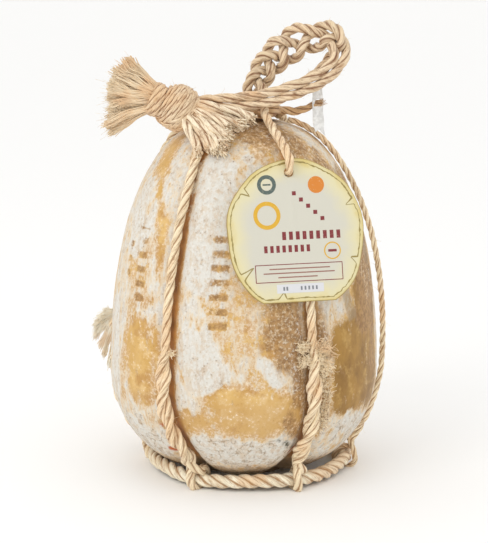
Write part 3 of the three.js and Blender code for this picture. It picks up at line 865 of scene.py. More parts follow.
OCHRE = [
    (47, 104, 47, 62, 12), (58, 110, 57, 58, 12), (52, 96, 54, 70, 16), (61, 132, 64, 104, 10),
    (72, 112, 70, 60, 12), (120, 95, 116, 60, 12), (112, 84, 112, 62, 9), (-172, 118, -169, 98, 6),
    (-168, 98, -164, 82, 10),
]
GREY = [
    (47, 146, 53, 118, 8), (70, 205, 78, 150, 8), (150, 130, 158, 70, 10), (-100, 110, -98, 60, 6),
]
DENSE = [
    (-19, 208, -17, 150, 17), (-20, 100, -17, 84, 15), (-20, 32, 24, 28, 11), (8, 92, 13, 82, 7),
    (-71, 120, -70, 60, 7), (-62, 36, -48, 30, 13), (-66, 196, -60, 160, 10), (-54, 168, -50, 190, 5),
    (52, 46, 66, 36, 10), (-145, 170, -150, 120, 14), (140, 170, 138, 120, 12), (100, 170, 96, 140, 12),
]
RUST = [
    (-39.3, 46, -39, 45, 1.4), (-40, 27, -37, 26, 2.0), (27, 27, 24, 25, 1.6),
]
DARK = [
    (19, 37, 21, 34, 2.6), (15.5, 40, 16, 39, 1.2), (24, 30, 25, 28, 1.3), (-150, 60, -148, 56, 2.5),
]


def turned(azimuth, start):
    """The turn from one azimuth to another, from -180 to 180 degrees."""
    return (azimuth - start + 180) % 360 - 180


def stroke(azimuth, height, radius, ends):
    """1 at the middle of a stroke on the rind, 0 at its edge and less outside: half width less the distance
    to the line between its ends, over the half width or 7 mm if that is less."""
    from_azimuth, from_height, to_azimuth, to_height, half_width = ends
    x = turned(azimuth, from_azimuth) * DEGREES * radius
    far_x = turned(to_azimuth, from_azimuth) * DEGREES * radius
    z, far_z = height - from_height, to_height - from_height
    share = np.clip((x * far_x + z * far_z) / np.maximum(far_x**2 + far_z**2, 1e-6), 0, 1)
    return (half_width - np.hypot(x - share * far_x, z - share * far_z)) / min(half_width, 7.0)


def strokes(azimuth, height, radius, many):
    """The highest value of any of many strokes."""
    return np.max([stroke(azimuth, height, radius, ends) for ends in many], axis=0)


def rope_marks(over, azimuth, rise):
    """How deep the ropes' grooves are, and 1 on the strip beside each rope, 0 away from it: there the bloom is
    thin and the bare rind gets a painted shadow of the rope.
    """
    groove, rope_shadow_strip = 0.0, 0.0
    for rope in NET.values():
        from_rope = over - net_over(rope, rise)
        across = np.linalg.norm(from_rope, axis=-1)
        # The strip lies 1.7 mm to each rope's right, seen from outside, the side where its shadow falls.
        beside = np.linalg.norm(from_rope - towards(azimuth + math.pi / 2) * 1.7, axis=-1)
        depth = pressed(rope, rise)
        narrow, wide = np.exp(-((across / GROOVE_WIDTH) ** 2)), np.exp(-((across / 20) ** 2))
        groove = np.maximum(groove, depth * 1.1 * narrow + 0.28 * depth * wide)
        shown = 0 if rope["doubled_to"] is None else 1 - ease(66 * DEGREES, 78 * DEGREES, rise)
        rope_shadow_strip = np.maximum(rope_shadow_strip, shown * np.exp(-((beside / 4.5) ** 4)))
    return groove, rope_shadow_strip


def ragged_noise(smooth, behind):
    """Blotches drawn out upwards, which break the edges of the strokes, most of all behind."""
    place = smooth * [1, 1, 0.6]
    noise = 0.55 * cloud(place, 26, 3, octaves=2) + 0.6 * cloud(place, 8, 4, octaves=4, keep=0.7)
    return noise * (1 + 0.7 * behind)


def rind_marks(smooth, azimuth, height, around, rope_shadow_strip):
    """The shares of bloom, brown, ochre and so on at each point, from the strokes and ragged noise. Behind,
    the strokes are bent by wide noise. Also the pressed bars and the noise."""
    behind = ease(62, 105, np.abs(azimuth))
    ragged = ragged_noise(smooth, behind)
    bent_azimuth = azimuth + 9 * behind * cloud(smooth, 36, 5, octaves=3)
    bent_height = height + 15 * behind * cloud(smooth, 30, 6, octaves=3)

    def zone(many, low, high, raggedness):
        value = strokes(bent_azimuth, bent_height, around, many)
        return ease(low, high, value + raggedness * ragged)

    bars = generic_marks(azimuth, height, around) * ease(-0.7, 0.0, ragged)
    thin, bare = zone(THIN, -0.1, 0.6, 0.5), zone(BARE, -0.7, 0.9, 1.1)
    brown, ochre = zone(BROWN, -0.9, 1.3, 0.9), zone(OCHRE, -0.8, 1.1, 0.9)
    dense = ease(0, 0.6, np.clip(strokes(bent_azimuth, bent_height, around, DENSE), 0, 1))
    bloom = 0.63 + 0.17 * ragged + 0.35 * dense - 0.15 * thin - 0.46 * bare - 0.45 * bars
    # Bare rind on the strip beside each rope, which the rind's colours darken as painted rope shadow.
    bloom = bloom - 0.5 * rope_shadow_strip
    # Darker brown and grey below about 27 mm, just above the foot rope: partly dirt, partly painted shade where
    # the cheese curves in.
    low_dirt_and_shade = ease(27, 7, height) * 0.85
    marks = {
        "bloom": np.clip(bloom - 0.52 * ochre - 0.12 * brown, 0, 1),
        # The groove mark carries the strip of painted rope shadow.
        "groove": rope_shadow_strip,
        "brown": np.maximum(np.maximum(brown, 0.8 * bars), low_dirt_and_shade),
        "ochre": ochre,
        "grey": np.maximum(zone(GREY, -0.2, 1.0, 0.9), low_dirt_and_shade * 1.2),
        "dark": zone(DARK, -0.3, 0.6, 1.3),
        "rust": zone(RUST, -0.1, 0.6, 0.5),
    }
    return marks, bars, ragged


# What the marks are on the foot, which nothing shows.
FOOT_MARKS = {"bloom": 0.35, "groove": 0.5, "brown": 0.5, "ochre": 0.0, "grey": 0.5, "dark": 0.0, "rust": 0.0}
RIND_COLUMNS, RIND_ROWS, FOOT_ROWS = 380, 236, 8


def rind():
    """The cheese on a grid of rises and azimuths: the smooth profile, pressed in under each rope, with wide
    lumps, fine relief and the bloom's thickness added along its normal."""
    foot_rise = math.asin(-WIDEST_Z / LOWER_REACH)
    sample = np.linspace(foot_rise, 89.3 * DEGREES, 4000)
    radius, height = profile(sample)
    travelled = np.concatenate([[0], np.cumsum(np.hypot(np.diff(radius), np.diff(height)))])
    rise = np.interp(np.linspace(0, travelled[-1], RIND_ROWS), travelled, sample)[:, None]
    azimuth = np.linspace(-math.pi, math.pi, RIND_COLUMNS, endpoint=False)[None, :]
    rise, azimuth = np.broadcast_arrays(rise, azimuth)
    radius, height = profile(rise)
    over = towards(azimuth) * column(radius)
    groove, rope_shadow_strip = rope_marks(over, azimuth, rise)
    smooth = over + column(height) * UP
    marks, bars, ragged = rind_marks(smooth, azimuth / DEGREES, height, np.maximum(radius, 8), rope_shadow_strip)

    lumps, bloom = settings().unevenness * 1000, settings().bloom_thickness * 1000
    relief = lumps * cloud(smooth, 52, 11, octaves=2) + 0.22 * cloud(smooth, 9, 12, octaves=3)
    relief = relief + bloom * ease(0.3, 0.7, marks["bloom"] + 0.25 * ragged) - 0.25 * bars
    points = smooth + outward(rise, azimuth) * column(ease(0, 14, height) * relief - groove)
    points[0, :, 2] = 0
    foot = points[0][None] * np.linspace(0.12, 0.94, FOOT_ROWS)[:, None, None]
    foot[..., 2] = 0
    points = np.concatenate([foot, points])
    for name, fill in FOOT_MARKS.items():
        marks[name] = np.concatenate([np.full((FOOT_ROWS, RIND_COLUMNS), fill), marks[name]])
    crest = points[-1].mean(0) + [0, 0, 0.05]
    return grid_skin(points, marks=marks, poles=[points[0].mean(0), crest])


# Columns of pressed bars: azimuth, lowest and highest height, lean and half width.
BAR_COLUMNS = [
    (-10.5, 112, 178, 0.03, 6.5), (-53, 124, 174, -0.1, 5.5), (-63, 138, 168, -0.1, 2.4),
    (100, 110, 170, 0.0, 6.5),
]
BAR_PITCH = 9.0


def generic_marks(azimuth, height, radius):
    """Plain short bars pressed into the rind in upright columns, 1 on a bar and 0 off it."""
    total = 0.0
    for at, low, high, lean, wide in BAR_COLUMNS:
        x = turned(azimuth, at) * DEGREES * radius - lean * (height - (low + high) / 2)
        inside = ease(wide, wide - 1.2, np.abs(x)) * ease(low, low + 2, height) * ease(high, high - 2, height)
        bar = ease(0.30, 0.50, np.abs(np.sin((height - low) * math.pi / BAR_PITCH)) - 0.35)
        total = np.maximum(total, inside * bar)
    return total


# ---- The net ----


def foot_point(azimuth):
    """The middle of the foot rope, drawn in slightly between its hitches."""
    radius = FOOT_RING - 0.6 * (1 + np.cos(6 * azimuth))
    return towards(azimuth) * column(radius) + [FOOT_RING_X, 0, FOOT_ROPE_Z]


def foot_rope():
    """The closed ring of thick rope, which waves slightly up and down."""
    azimuth = np.linspace(0, 2 * math.pi, 560, endpoint=False)
    path = foot_point(azimuth)
    path[:, 2] += 0.5 * np.sin(5 * azimuth + 1)
    return laid_rope(path, FOOT_ROPE, UP, 101, closed=True, lay=6.2)


HITCH_RADIUS = 7.2  # of the turn round the foot rope
TWIST_LENGTH = 46.0  # in which a rope and its tail turn once round each other
NET_STEP = 6  # one in so many points of a rope shapes its curve


def net_paths(rope):
    """The rope from its top down to the foot rope and once round it, and its tail laid back up beside it."""
    low = rope["low"] * DEGREES
    rises = np.arange(NET_START, rope["top"] + 0.01, 0.5) * DEGREES
    middle = net_point(rope, rises)
    _, across, through = path_frame(middle, towards((rope["wide"] + 90) * DEGREES))
    angle = column(lengths_along(middle) / TWIST_LENGTH * 2 * math.pi + 0.6)
    tail_end, reach = (-30, 1.6) if rope["doubled_to"] is None else (rope["doubled_to"], 2.35)
    end = tail_end * DEGREES
    beside = 1 - ease(end - 5 * DEGREES, end + 5 * DEGREES, rises)
    shift = reach * column(beside) * (across * np.cos(angle) + through * np.sin(angle))
    tail = (middle - shift)[rises < end + 1 * DEGREES]
    turn = np.linspace(0.1, 2 * math.pi - 0.9, 9)
    round_ring = (
        foot_point(np.array(low))
        + circle(towards(low), -UP, turn - 0.2, HITCH_RADIUS)
        + towards((rope["low"] + 90) * DEGREES) * column(mix(-3.4, 3.6, turn / (2 * math.pi)))
    )
    return (middle + shift)[::-1], round_ring, tail


def net_rope(name, seed):
    """Skins of one net rope: the rope, its hitch and its doubled tail are one length of laid rope."""
    rope = NET[name]
    main, round_ring, tail = net_paths(rope)
    guide = towards((rope["wide"] + 90) * DEGREES)
    thickness, fibres = (STAY_ROPE, 30) if rope["doubled_to"] is None else (NET_ROPE, 70)
    upper = main[:-NET_STEP:NET_STEP]
    if name == "front_right":
        upper = np.vstack([tag_lead()[::-1], upper[1:]])
    path = smooth_path(np.vstack([upper, main[-NET_STEP], round_ring, tail[NET_STEP::NET_STEP], tail[-1]]), 0.8)
    radius = np.full(len(path), thickness)
    if name == "front_right":
        hole = on_tag(*TAG_HOLE_AT, TAG_THICKNESS / 2)
        radius = mix(2.25, thickness, ease(3, 9, np.linalg.norm(path - hole, axis=1)))
    return fuzzy_rope(path, radius, guide, seed, fibres, seed + 7)


# ---- The tag ----

TAG_HALF_WIDTH, TAG_TOP, TAG_BOTTOM = 45.0, 45.0, 46.0  # from its middle
TAG_LOWER_REACH, TAG_THICKNESS = 51.5, 1.4  # how far down its lower edge would reach if it weren't cut
TAG_HOLE, TAG_HOLE_AT = 3.1, np.array([-2.5, 36.5])
TAG_FACES = unit(towards(15 * DEGREES) * math.cos(13 * DEGREES) + [0, 0, math.sin(13 * DEGREES)])
TAG_RIGHT = unit(np.cross(UP, TAG_FACES))
TAG_UP = np.cross(TAG_FACES, TAG_RIGHT)
TAG_AIM = np.array([31.5, -70, 175.5])  # the tag's middle, before it is moved out until it rests on its rope
ROPE_BEHIND = net_point(NET["front_right"], np.linspace(NET_START, 34, 13) * DEGREES)
TAG_MIDDLE = TAG_AIM + TAG_FACES * (np.max(ROPE_BEHIND @ TAG_FACES) + NET_ROPE + GAP - TAG_AIM @ TAG_FACES)


def on_tag(x, y, out):
    """A point given by its place on the tag and its height in front of the tag's back."""
    return TAG_MIDDLE + TAG_RIGHT * column(x) + TAG_UP * column(y) + TAG_FACES * column(out)


def tag_lead():
    """The front right rope's way up the tag's back, out through its hole and on to the crown."""
    x, y = TAG_HOLE_AT
    points = [
        on_tag(x + 2.4, y - 22, -4),
        on_tag(x + 1, y - 8, -4.6),
        on_tag(x, y - 0.9, -3),
        on_tag(x, y, TAG_THICKNESS / 2),
        on_tag(x, y + 1.2, TAG_THICKNESS + 2.6),
        on_tag(x - 0.8, y + 9, TAG_THICKNESS + 4.4),
        np.array([18, -33, 237.5]),
        np.array([14.5, -22.5, 243]),
        np.array([13.5, -14, 246]),
    ]
    return np.array(points)


def tag_outline(count):
    """The tag's edge: a slightly squared circle with a worn edge, deeper below, where it is cut straight."""
    cut = math.asin((TAG_BOTTOM / TAG_LOWER_REACH) ** 1.15)
    angle = np.linspace(-cut, math.pi + cut, count)
    worn = 1 + 0.007 * np.sin(9 * angle + 1) + 0.006 * np.sin(5 * angle)
    c, s = np.cos(angle), np.sin(angle)
    reach = np.where(s > 0, TAG_TOP, TAG_LOWER_REACH)
    power = np.where(s > 0, 1.0, 1 / 1.15)
    x = TAG_HALF_WIDTH * np.sign(c) * np.abs(c) ** power * worn
    y = reach * np.sign(s) * np.abs(s) ** power * np.where(s > 0, worn, 1)
    bottom = np.linspace(0, 1, 60)[1:-1, None]
    straight = mix(np.array([x[-1], y[-1]]), np.array([x[0], y[0]]), bottom)
    edge = np.vstack([np.stack([x, y], -1), straight])
    spots = np.stack([edge[:, 0], edge[:, 1], 0 * edge[:, 0]], -1)
    return edge * (1 + 0.004 * cloud(spots, 3.2, 8, octaves=2)[:, None])


def pierced_plate(outline, hole_at, hole, thickness, place, bend):
    """A card with a round hole. Its section runs from the hole over the front to the edge and back behind,
    rounded at the rims, and is carried round the hole while its outer end follows the outline."""
    spokes = outline - hole_at
    direction = unit(spokes)
    rim = hole_at + direction * hole
    share = np.concatenate([[0, 0.004], np.linspace(0.03, 0.97, 26), [0.992, 1.0]])
    share = np.concatenate([share, share[::-1]])
    front = np.concatenate([[0.82], np.full(28, 1.0), [0.85], [0.15], np.full(28, 0.0), [0.18]])
    flat = mix(rim[None], outline[None], share[:, None, None])
    out = front[:, None] * thickness + bend(flat[..., 0], flat[..., 1])
    points = place(flat[..., 0], flat[..., 1], out)
    edge = np.linalg.norm(flat - outline[None], axis=-1)
    near = np.minimum(edge, distance_to_edge(flat, outline))
    span = np.ptp(outline, axis=0).max()
    u, v = (flat[..., 0] / span + 0.5), (flat[..., 1] / span + 0.5)
    skin = grid_skin(points, wrap_rows=True, marks={"edge": near})
    index = skin.faces[0]
    skin.uvs = [np.stack([u.reshape(-1)[index], v.reshape(-1)[index]], -1)]
    return skin


def distance_to_edge(flat, outline):
    """Distance from each point to the nearest point of an outline."""
    points = flat.reshape(-1, 2)
    nearest = np.min(np.linalg.norm(points[:, None] - outline[None, ::3], axis=-1), axis=1)
    return nearest.reshape(flat.shape[:2])


def tag_bend(x, y):
    """How far the card bows, in millimetres: a little at its lower corners and where the rope runs behind."""
    corners = 0.5 * (x / TAG_HALF_WIDTH) ** 2 * np.clip(-y / TAG_BOTTOM, 0, 1)
    return corners + 0.35 * np.exp(-(((x + 1.5) / 2.5) ** 2)) * ease(36, 12, y) * ease(-5, 12, y)


def inked(line, width, closed=False, lift=0.05):
    """A printed line on the tag: a thin flat section carried along a line."""
    line = np.asarray(line, float)
    if closed:
        along = np.roll(line, -1, axis=0) - np.roll(line, 1, axis=0)
    else:
        along = np.gradient(line, axis=0)
    side = unit(np.stack([-along[:, 1], along[:, 0]], -1))
    half = np.broadcast_to(np.asarray(width, float) / 2, (len(line),))[:, None]
    left, right = line + side * half, line - side * half
    low, high = TAG_THICKNESS - 0.05, TAG_THICKNESS + lift
    rings = [
        on_tag(p[:, 0], p[:, 1], level + tag_bend(p[:, 0], p[:, 1]))
        for p, level in ((right, low), (right, high), (left, high), (left, low))
    ]
    return grid_skin(np.stack(rings, 1), wrap_rows=closed, u=np.arange(len(line) + 1.0))


def bar(x, y, wide, high, lift=0.05):
    """A plain printed block."""
    t = np.linspace(-0.5, 0.5, 4)
    return inked(np.stack([x + wide * t, np.full(4, float(y))], -1), high, lift=lift)


def ring_line(x, y, radius, width):
    """A printed ring."""
    turn = np.linspace(0, 2 * math.pi, 40, endpoint=False)
    return inked(np.stack([x + radius * np.cos(turn), y + radius * np.sin(turn)], -1), width, True)


def disc(x, y, radius):
    """A printed disc: a line across it whose width is that of the circle there."""
    t = -np.cos(np.linspace(0.05, math.pi - 0.05, 30))
    return inked(np.stack([x + radius * t, np.full(30, float(y))], -1), 2 * radius * np.sqrt(1 - t**2))


def edge_line():
    """The worn line inside the tag's edge, with a few notches like small tears."""
    outline = tag_outline(400)
    inner = outline * (1 - 2.3 / np.linalg.norm(outline, axis=1, keepdims=True))
    travelled = np.arange(len(inner)) / len(inner)
    spots = np.stack([inner[:, 0], inner[:, 1], 0 * inner[:, 0]], -1)
    inner = inner * (1 - 0.022 * np.abs(cloud(spots, 4, 21, octaves=3))[:, None])
    for where, deep in [(0.112, 5), (0.243, 6), (0.587, 6), (0.79, 10), (0.904, 4.5)]:
        notch = deep * np.clip(1 - np.abs(travelled - where) / 0.008, 0, 1)
        inner = inner - unit(inner) * notch[:, None]
    thickness = 0.35 + 1.6 * np.abs(cloud(spots, 3, 22, octaves=2))
    return inked(inner, thickness, closed=True)


# ---- Operators ----


class CHEESE_OT_rind(bpy.types.Operator):
    """The cheese with its grooves, relief and mould bloom"""

    bl_idname = "cheese.rind"
    bl_label = "Rind"

    def execute(self, context):
        piece("cheese_rind", [rind()], rind_material(), ["cheese"])
        return {"FINISHED"}


class CHEESE_OT_net(bpy.types.Operator):
    """The rope round the foot, and the six ropes hitched to it"""

    bl_idname = "cheese.net"
    bl_label = "Net"

    def execute(self, context):
        clean = straw("straw_foot", (255, 248, 224), (202, 168, 124))
        piece("foot_ring", [foot_rope()], clean, ["foot_rope"])
        for number, name in enumerate(NET):
            skins = net_rope(name, 200 + 10 * number)
            piece("net_" + name, skins, straw(), ["net_rope_" + name, "hitch_" + name])
        return {"FINISHED"}


def puff(point, way, count, seed, size, coil):
    """A frayed tail: fibres that leave round a point, mostly one way, and curl."""
    rng = np.random.default_rng(seed)
    root = point + scatter(rng, count) * size * 0.16
    way = unit(np.asarray(way, float) + 0.75 * scatter(rng, count))
    return curled_fibres(root, way, column(size * rng.uniform(0.3, 1.0, count)), coil, 1.2, rng, 0.24)


# Frayed tails: the rope, where from it, which way, how many fibres, the seed, their length and coils' size.
TAILS = [
    ("front_left", (3.5, -1.5, 0), (0.9, -0.5, 0.1), 26, 1, 5.0, 0.9),
    ("front_right", (-4.5, -1.5, 5), (-0.9, -0.4, 0.1), 62, 2, 7.0, 2.0),
    ("front_right", (-3, -2, -3), (-0.8, -0.3, -0.5), 40, 3, 8.5, 2.4),
    ("front_right", (4.5, 0.5, 3), (1.0, -0.1, 0.2), 95, 6, 8.5, 2.0),
    ("front_right", (5.5, 1, -5), (0.9, -0.1, -0.6), 95, 7, 9.0, 2.0),
]
TAILS_RISE = 9 * DEGREES
WEB_FIBRES = 260


def web():
    """Loose fibres that lie on the cheese right of the front right rope, from 100 mm down to 46 mm."""
    rng = np.random.default_rng(4)
    down = rng.uniform(0, 1, WEB_FIBRES)
    azimuth = (mix(33.5, 33, down) + rng.uniform(-1, 1, WEB_FIBRES) * mix(5.0, 3.5, down)) * DEGREES
    root = towards(azimuth) * 92 + UP * column(mix(100, 46, down))
    narrow = np.sqrt(np.clip(1 - ((root[:, 2] - WIDEST_Z) / LOWER_REACH) ** 2, 0, 1))
    root = root * column(np.where(root[:, 2] < WIDEST_Z, narrow, 1)) * [1, 1, 0] + root * UP
    root = root + scatter(rng, WEB_FIBRES, [0.6, 0.6, 1.5])
    way = unit(scatter(rng, WEB_FIBRES, [1, 0.5, 1.4]) - [0, 0, 0.6])
    return curled_fibres(root, way, column(rng.uniform(2, 7, WEB_FIBRES)), 1.7, 1.3, rng, 0.2), rng


def side_tuft(rng):
    """The left rope's frayed tail: locks of fibres that spread in a fan towards the left."""
    locks, each = 11, 46
    left = net_point(NET["left"], np.array(12 * DEGREES))
    lock = np.repeat(np.arange(locks), each)
    many = len(lock)
    lift = (np.linspace(0, 1, locks) + rng.normal(size=locks) * 0.03)[lock]
    root = left + np.array([-1.0, -1.5, -3.0]) + scatter(rng, many, 0.8)
    tip_x = np.interp(lift, [0, 0.35, 0.6, 1], [-97.0, -105.0, -104.0, -92.5])
    tip_z = np.interp(lift, [0, 0.35, 0.6, 1], [103.0, 92.0, 80.0, 62.0])
    aside = rng.uniform(-6, 4, locks)[lock]
    tip = np.stack([tip_x, left[1] + aside, tip_z], -1) + scatter(rng, many, [1.1, 1.0, 1.3])
    control = mix(root, tip, 0.5) + column(2.5 * (1 - lift)) * [-1, 0, 0.4] + scatter(rng, many, 0.4)
    wave = scatter(rng, locks, 0.8)[lock], rng.uniform(0, 6, locks)[lock], 1.2
    return bent_fibres(root, control, tip, rng, 0.30, steps=9, curl=0.4, taper=0.6, crimp=wave)


class CHEESE_OT_frays(bpy.types.Operator):
    """The frayed tails of the net ropes"""

    bl_idname = "cheese.frays"
    bl_label = "Frays"

    def execute(self, context):
        skins = [puff(net_point(NET[rope], TAILS_RISE) + aside, *more) for rope, aside, *more in TAILS]
        web_skin, rng = web()
        fuzzy = straw("straw_fray", (255, 240, 208), (234, 204, 158), 0.4, 0.1, 0.2)
        piece("tail_frays", [*skins, web_skin], fuzzy)
        side = straw("straw_side", (255, 252, 238), (246, 232, 204), 0.4, 0.1, 0.1)
        piece("side_tuft", [side_tuft(rng)], side)
        return {"FINISHED"}


class CHEESE_OT_crown(bpy.types.Operator):
    """The gathered turns at the top and the short rope end that leaves them"""

    bl_idname = "cheese.crown"
    bl_label = "Crown"

    def execute(self, context):
        turn = np.linspace(0, 3.2 * 2 * math.pi, 260)
        level = turn / (2 * math.pi)
        radius = np.interp(level, [0, 1, 2, 3.2], [12.0, 10.5, 7.5, 2.5])
        height = np.interp(level, [0, 0.6, 1.4, 2.2, 3.2], [-3.6, -2.6, 0.2, 3.0, 3.4])
        height = height + 0.6 * np.sin(2.3 * turn)
        path = CROWN + np.stack([radius * np.cos(turn), radius * np.sin(turn), height], -1)
        path = evenly(clear_of_cheese(path, 2.6), 0.8)
        skins = fuzzy_rope(path, 3.1, UP, 301, 60, 302)
        brown = straw("straw_worn", (212, 172, 124), (130, 88, 50))
        piece("crown_turns", skins, brown, ["crown"])
        route = [(20, -6, 246), (29.5, -6, 245), (36, -6, 245), (42, -6, 247), (47, -6, 249.6), (51, -6, 250.8)]
        path = smooth_path(route)
        radius = mix(2.9, 2.2, ease(0.5, 0.8, np.linspace(0, 1, len(path))))
        end = path[-1]
        rng = np.random.default_rng(9)
        root = end + scatter(rng, 60, 0.9)
        tip = root + [1.4, 0, 0.2] + scatter(rng, 60, 0.7)
        fuzz = bent_fibres(root - [2, 0, 1], root, tip, rng, 0.22)
        piece("rope_end_laid", [laid_rope(path, radius, UP, 310), fuzz], brown, ["rope_end"])
        return {"FINISHED"}


def wound(axis, turns, first, last, radius, pole):
    """Turns wound round an axis through the knot, from one level along it to another. The turns' radius
    shrinks to both sides as on an egg: radius sqrt(1 - (level / pole)^2)."""
    side = unit(np.cross([0, 1.0, 0], axis))
    other = np.cross(axis, side)
    turn = np.linspace(0.35, 0.35 + turns, int(110 * turns)) * 2 * math.pi
    level = np.linspace(first, last, len(turn)) + 0.35 * wander(turn, 1.7, 430)
    reach = radius * np.sqrt(1 - (level / pole) ** 2) + 0.35 * wander(turn, 1.3, 431)
    return evenly(KNOT + axis * column(level) + circle(side, other, turn, reach), 0.7)


class CHEESE_OT_knot(bpy.types.Operator):
    """The big knot: many wound turns over a core, and the turns round its neck"""

    bl_idname = "cheese.knot"
    bl_label = "Knot"

    def execute(self, context):
        axis, crossing = KNOT_LEANS, unit(np.array([-0.66, -0.58, 0.48]))
        knotted = straw("straw_knot", (232, 208, 174), (156, 112, 74), 1.4)
        inner = wound(axis, 7.8, 10.6, -9.2, 13.9, 13.6)
        over = wound(crossing, 4.3, 6.0, -5.0, 13.6, 30.0)
        level = np.linspace(-10.4, 19.5, 60)
        egg = 12.6 * np.sqrt(np.clip(1 - (level / 11) ** 2, 0.02, 1))
        core = KNOT + axis * column(level), np.maximum(egg, np.where(level > 0, 8.4, 0.1))
        skins = [
            laid_rope(inner, 2.0, axis, 401, lay=12, uneven=1.4),
            laid_rope(over, 2.0, crossing, 411, lay=12, uneven=1.4),
            laid_rope(*core, [0, 1.0, 0], 415, lay=6, count=9, tight=1.4, uneven=1.5),
            stray_fibres(inner, 2.2, axis, 120, 402, 3.0),
        ]
        piece("knot_turns", skins, knotted, ["big_knot"])
        collar = wound(axis, 3.6, 18.9, 12.9, 9.9, 80.0)
        piece("knot_neck", [laid_rope(collar, 2.0, axis, 421, lay=12, uneven=1.4)], knotted, ["knot_collar"])
        return {"FINISHED"}


# The fan's edge from its lower to its upper corner: the share of the way, and the place there.
FAN_SHARES = [0, 0.1, 0.18, 0.24, 0.45, 0.6, 0.75, 0.9, 1.0]
FAN_X = [-87.5, -92.0, -92.0, -88.0, -88.5, -88.5, -86.0, -81.5, -75.5]
FAN_Z = [230.5, 234, 239, 243, 254, 262, 271, 277, 281.5]
# Cut ends: which way each leaves the knot, where it ends, and how unevenly its strands are cut.
CUT_ENDS = [
    ((16, -7.5, 2), (7, -29, 240), 1),
    ((14, -13, -2.5), (-2, -40, 235), 1),
    ((10, -15, -6), (-8, -50, 228), 0.8),
    ((11, -12, -12.5), (-14, -53, 224), 0.3),
    ((5.5, -15, -10.5), (-25, -49.5, 223), 0.15),
]
CUT_FIBRES = 60


def left_fan(rng):
    """Locks of crimped fibres that spread from the knot's neck to the fan's edge, and a few wild ones."""
    locks, each = 21, 74
    lock = np.repeat(np.arange(locks), each)
    many = len(lock)
    way = (np.linspace(0, 1, locks) + rng.normal(size=locks) * 0.012)[lock]
    depth = rng.uniform(-8, 6, locks)[lock]
    short = rng.uniform(0, 0.10, locks)[lock]
    across = unit(np.array([0.36, 0, 0.93]))
    root = KNOT + KNOT_LEANS * 17.5 + across * column(mix(-8.0, 8.0, way))
    root = root + [0, 1.0, 0] * column(depth * 0.5 - 1) + scatter(rng, many, [0.3, 1.2, 0.9])
    x, z = (np.interp(way, FAN_SHARES, places) for places in (FAN_X, FAN_Z))
    tip = np.stack([x, KNOT[1] - 2 + depth, z], -1)
    tip = mix(tip, root, short[:, None]) + scatter(rng, many, [1.6, 1.0, 0.95])
    bow = column(2.2 * np.sin(way * math.pi)) * UP * column(np.sign(way - 0.5))
    control = mix(root, tip, 0.5) - bow + KNOT_LEANS * 1.5 + scatter(rng, many, 0.3)
    wave = scatter(rng, locks, [0.4, 0.9, 0.8])[lock], rng.uniform(0, 6, locks)[lock], 1.3
    shades = np.clip(rng.uniform(0, 1, locks)[lock] * 0.7 + rng.uniform(0, 0.3, many), 0, 1)
    fan = bent_fibres(root, control, tip, rng, 0.46, 11, 0.6, 0.3, wave, shades)
    few = rng.integers(0, many, 190)
    wild = tip[few] + scatter(rng, 190, [2.4, 2, 2.6]) - [2.6, 0, 0]
    return [fan, bent_fibres(root[few], control[few], wild, rng, 0.17, steps=9, curl=0.9)]


def cut_end(number, rng):
    """A rope end that hangs over the cheese, unlaid into two or three strands, each ending in a brush."""
    leaves, lies, uneven_cut = CUT_ENDS[number]
    start = KNOT + unit(np.array(leaves, float)) * (KNOT_RADIUS - 5)
    points = mix(start, np.array(lies, float), np.linspace(0, 1, 6)[:, None])
    points = points + UP * column(np.sin(np.linspace(0, math.pi, 6)) * (1.6 - 0.5 * number))
    middle = smooth_path(clear_of_cheese(points, 4.2), 0.6)
    share = np.linspace(0, 1, len(middle))
    guide = [0, 0.3, 1.0]
    _, across, through = path_frame(middle, guide)
    parts, strand = (3, 2.6) if number % 2 else (2, 3.1)
    skins = []
    for part in range(parts):
        seed = 500 + 10 * number + part
        angle = part * 2 * math.pi / parts + number + 1.3 * share + 0.7 * wander(share, 0.3, seed)
        away = 1.7 + 2.0 * share**2 + 0.8 * wander(share, 0.25, seed + 70)
        path = middle + circle(across, through, angle, away)
        path = clear_of_cheese(path[: len(path) - int(rng.integers(0, 15) * uneven_cut)], 2.3)
        end = path[-1]
        along_it = np.linspace(0, 1, len(path))
        thick = strand + 0.5 * wander(along_it, 0.22, seed + 90) + 0.5 * ease(0.75, 1, along_it)
        skins.append(laid_rope(path, thick, guide, seed, lay=17, tight=1.15, uneven=3.5))
        way = unit(end - path[-5]) + 0.5 * unit(end - middle[-1] + 1e-3)
        spread = scatter(rng, CUT_FIBRES, 1.25)
        reach = column(rng.uniform(0.2, 1.2, CUT_FIBRES))
        tip = clear_of_cheese(end + spread * 1.35 + way * reach, 0.3)
        root, control = path[-6] + spread * 0.9, end + spread * 1.1
        skins.append(bent_fibres(root, control, tip, rng, 0.5, steps=6, taper=0.9, curl=0.3))
    return skins


class CHEESE_OT_tassels(bpy.types.Operator):
    """The fan of loose fibres left of the knot, and the cut rope ends right of it"""

    bl_idname = "cheese.tassels"
    bl_label = "Tassels"

    def execute(self, context):
        rng = np.random.default_rng(12)
        pale = straw("straw_tassel", (242, 222, 190), (194, 160, 118), 0.4, 0.1, 0.8)
        piece("left_fan", left_fan(rng), pale, ["left_tassel"])
        ends_straw = straw("straw_ends", (250, 236, 208), (170, 126, 84), 1.2)
        for number in range(len(CUT_ENDS)):
            name = f"cut_end_{number + 1}"
            piece(name + "_laid", cut_end(number, rng), ends_straw, [name])
        return {"FINISHED"}


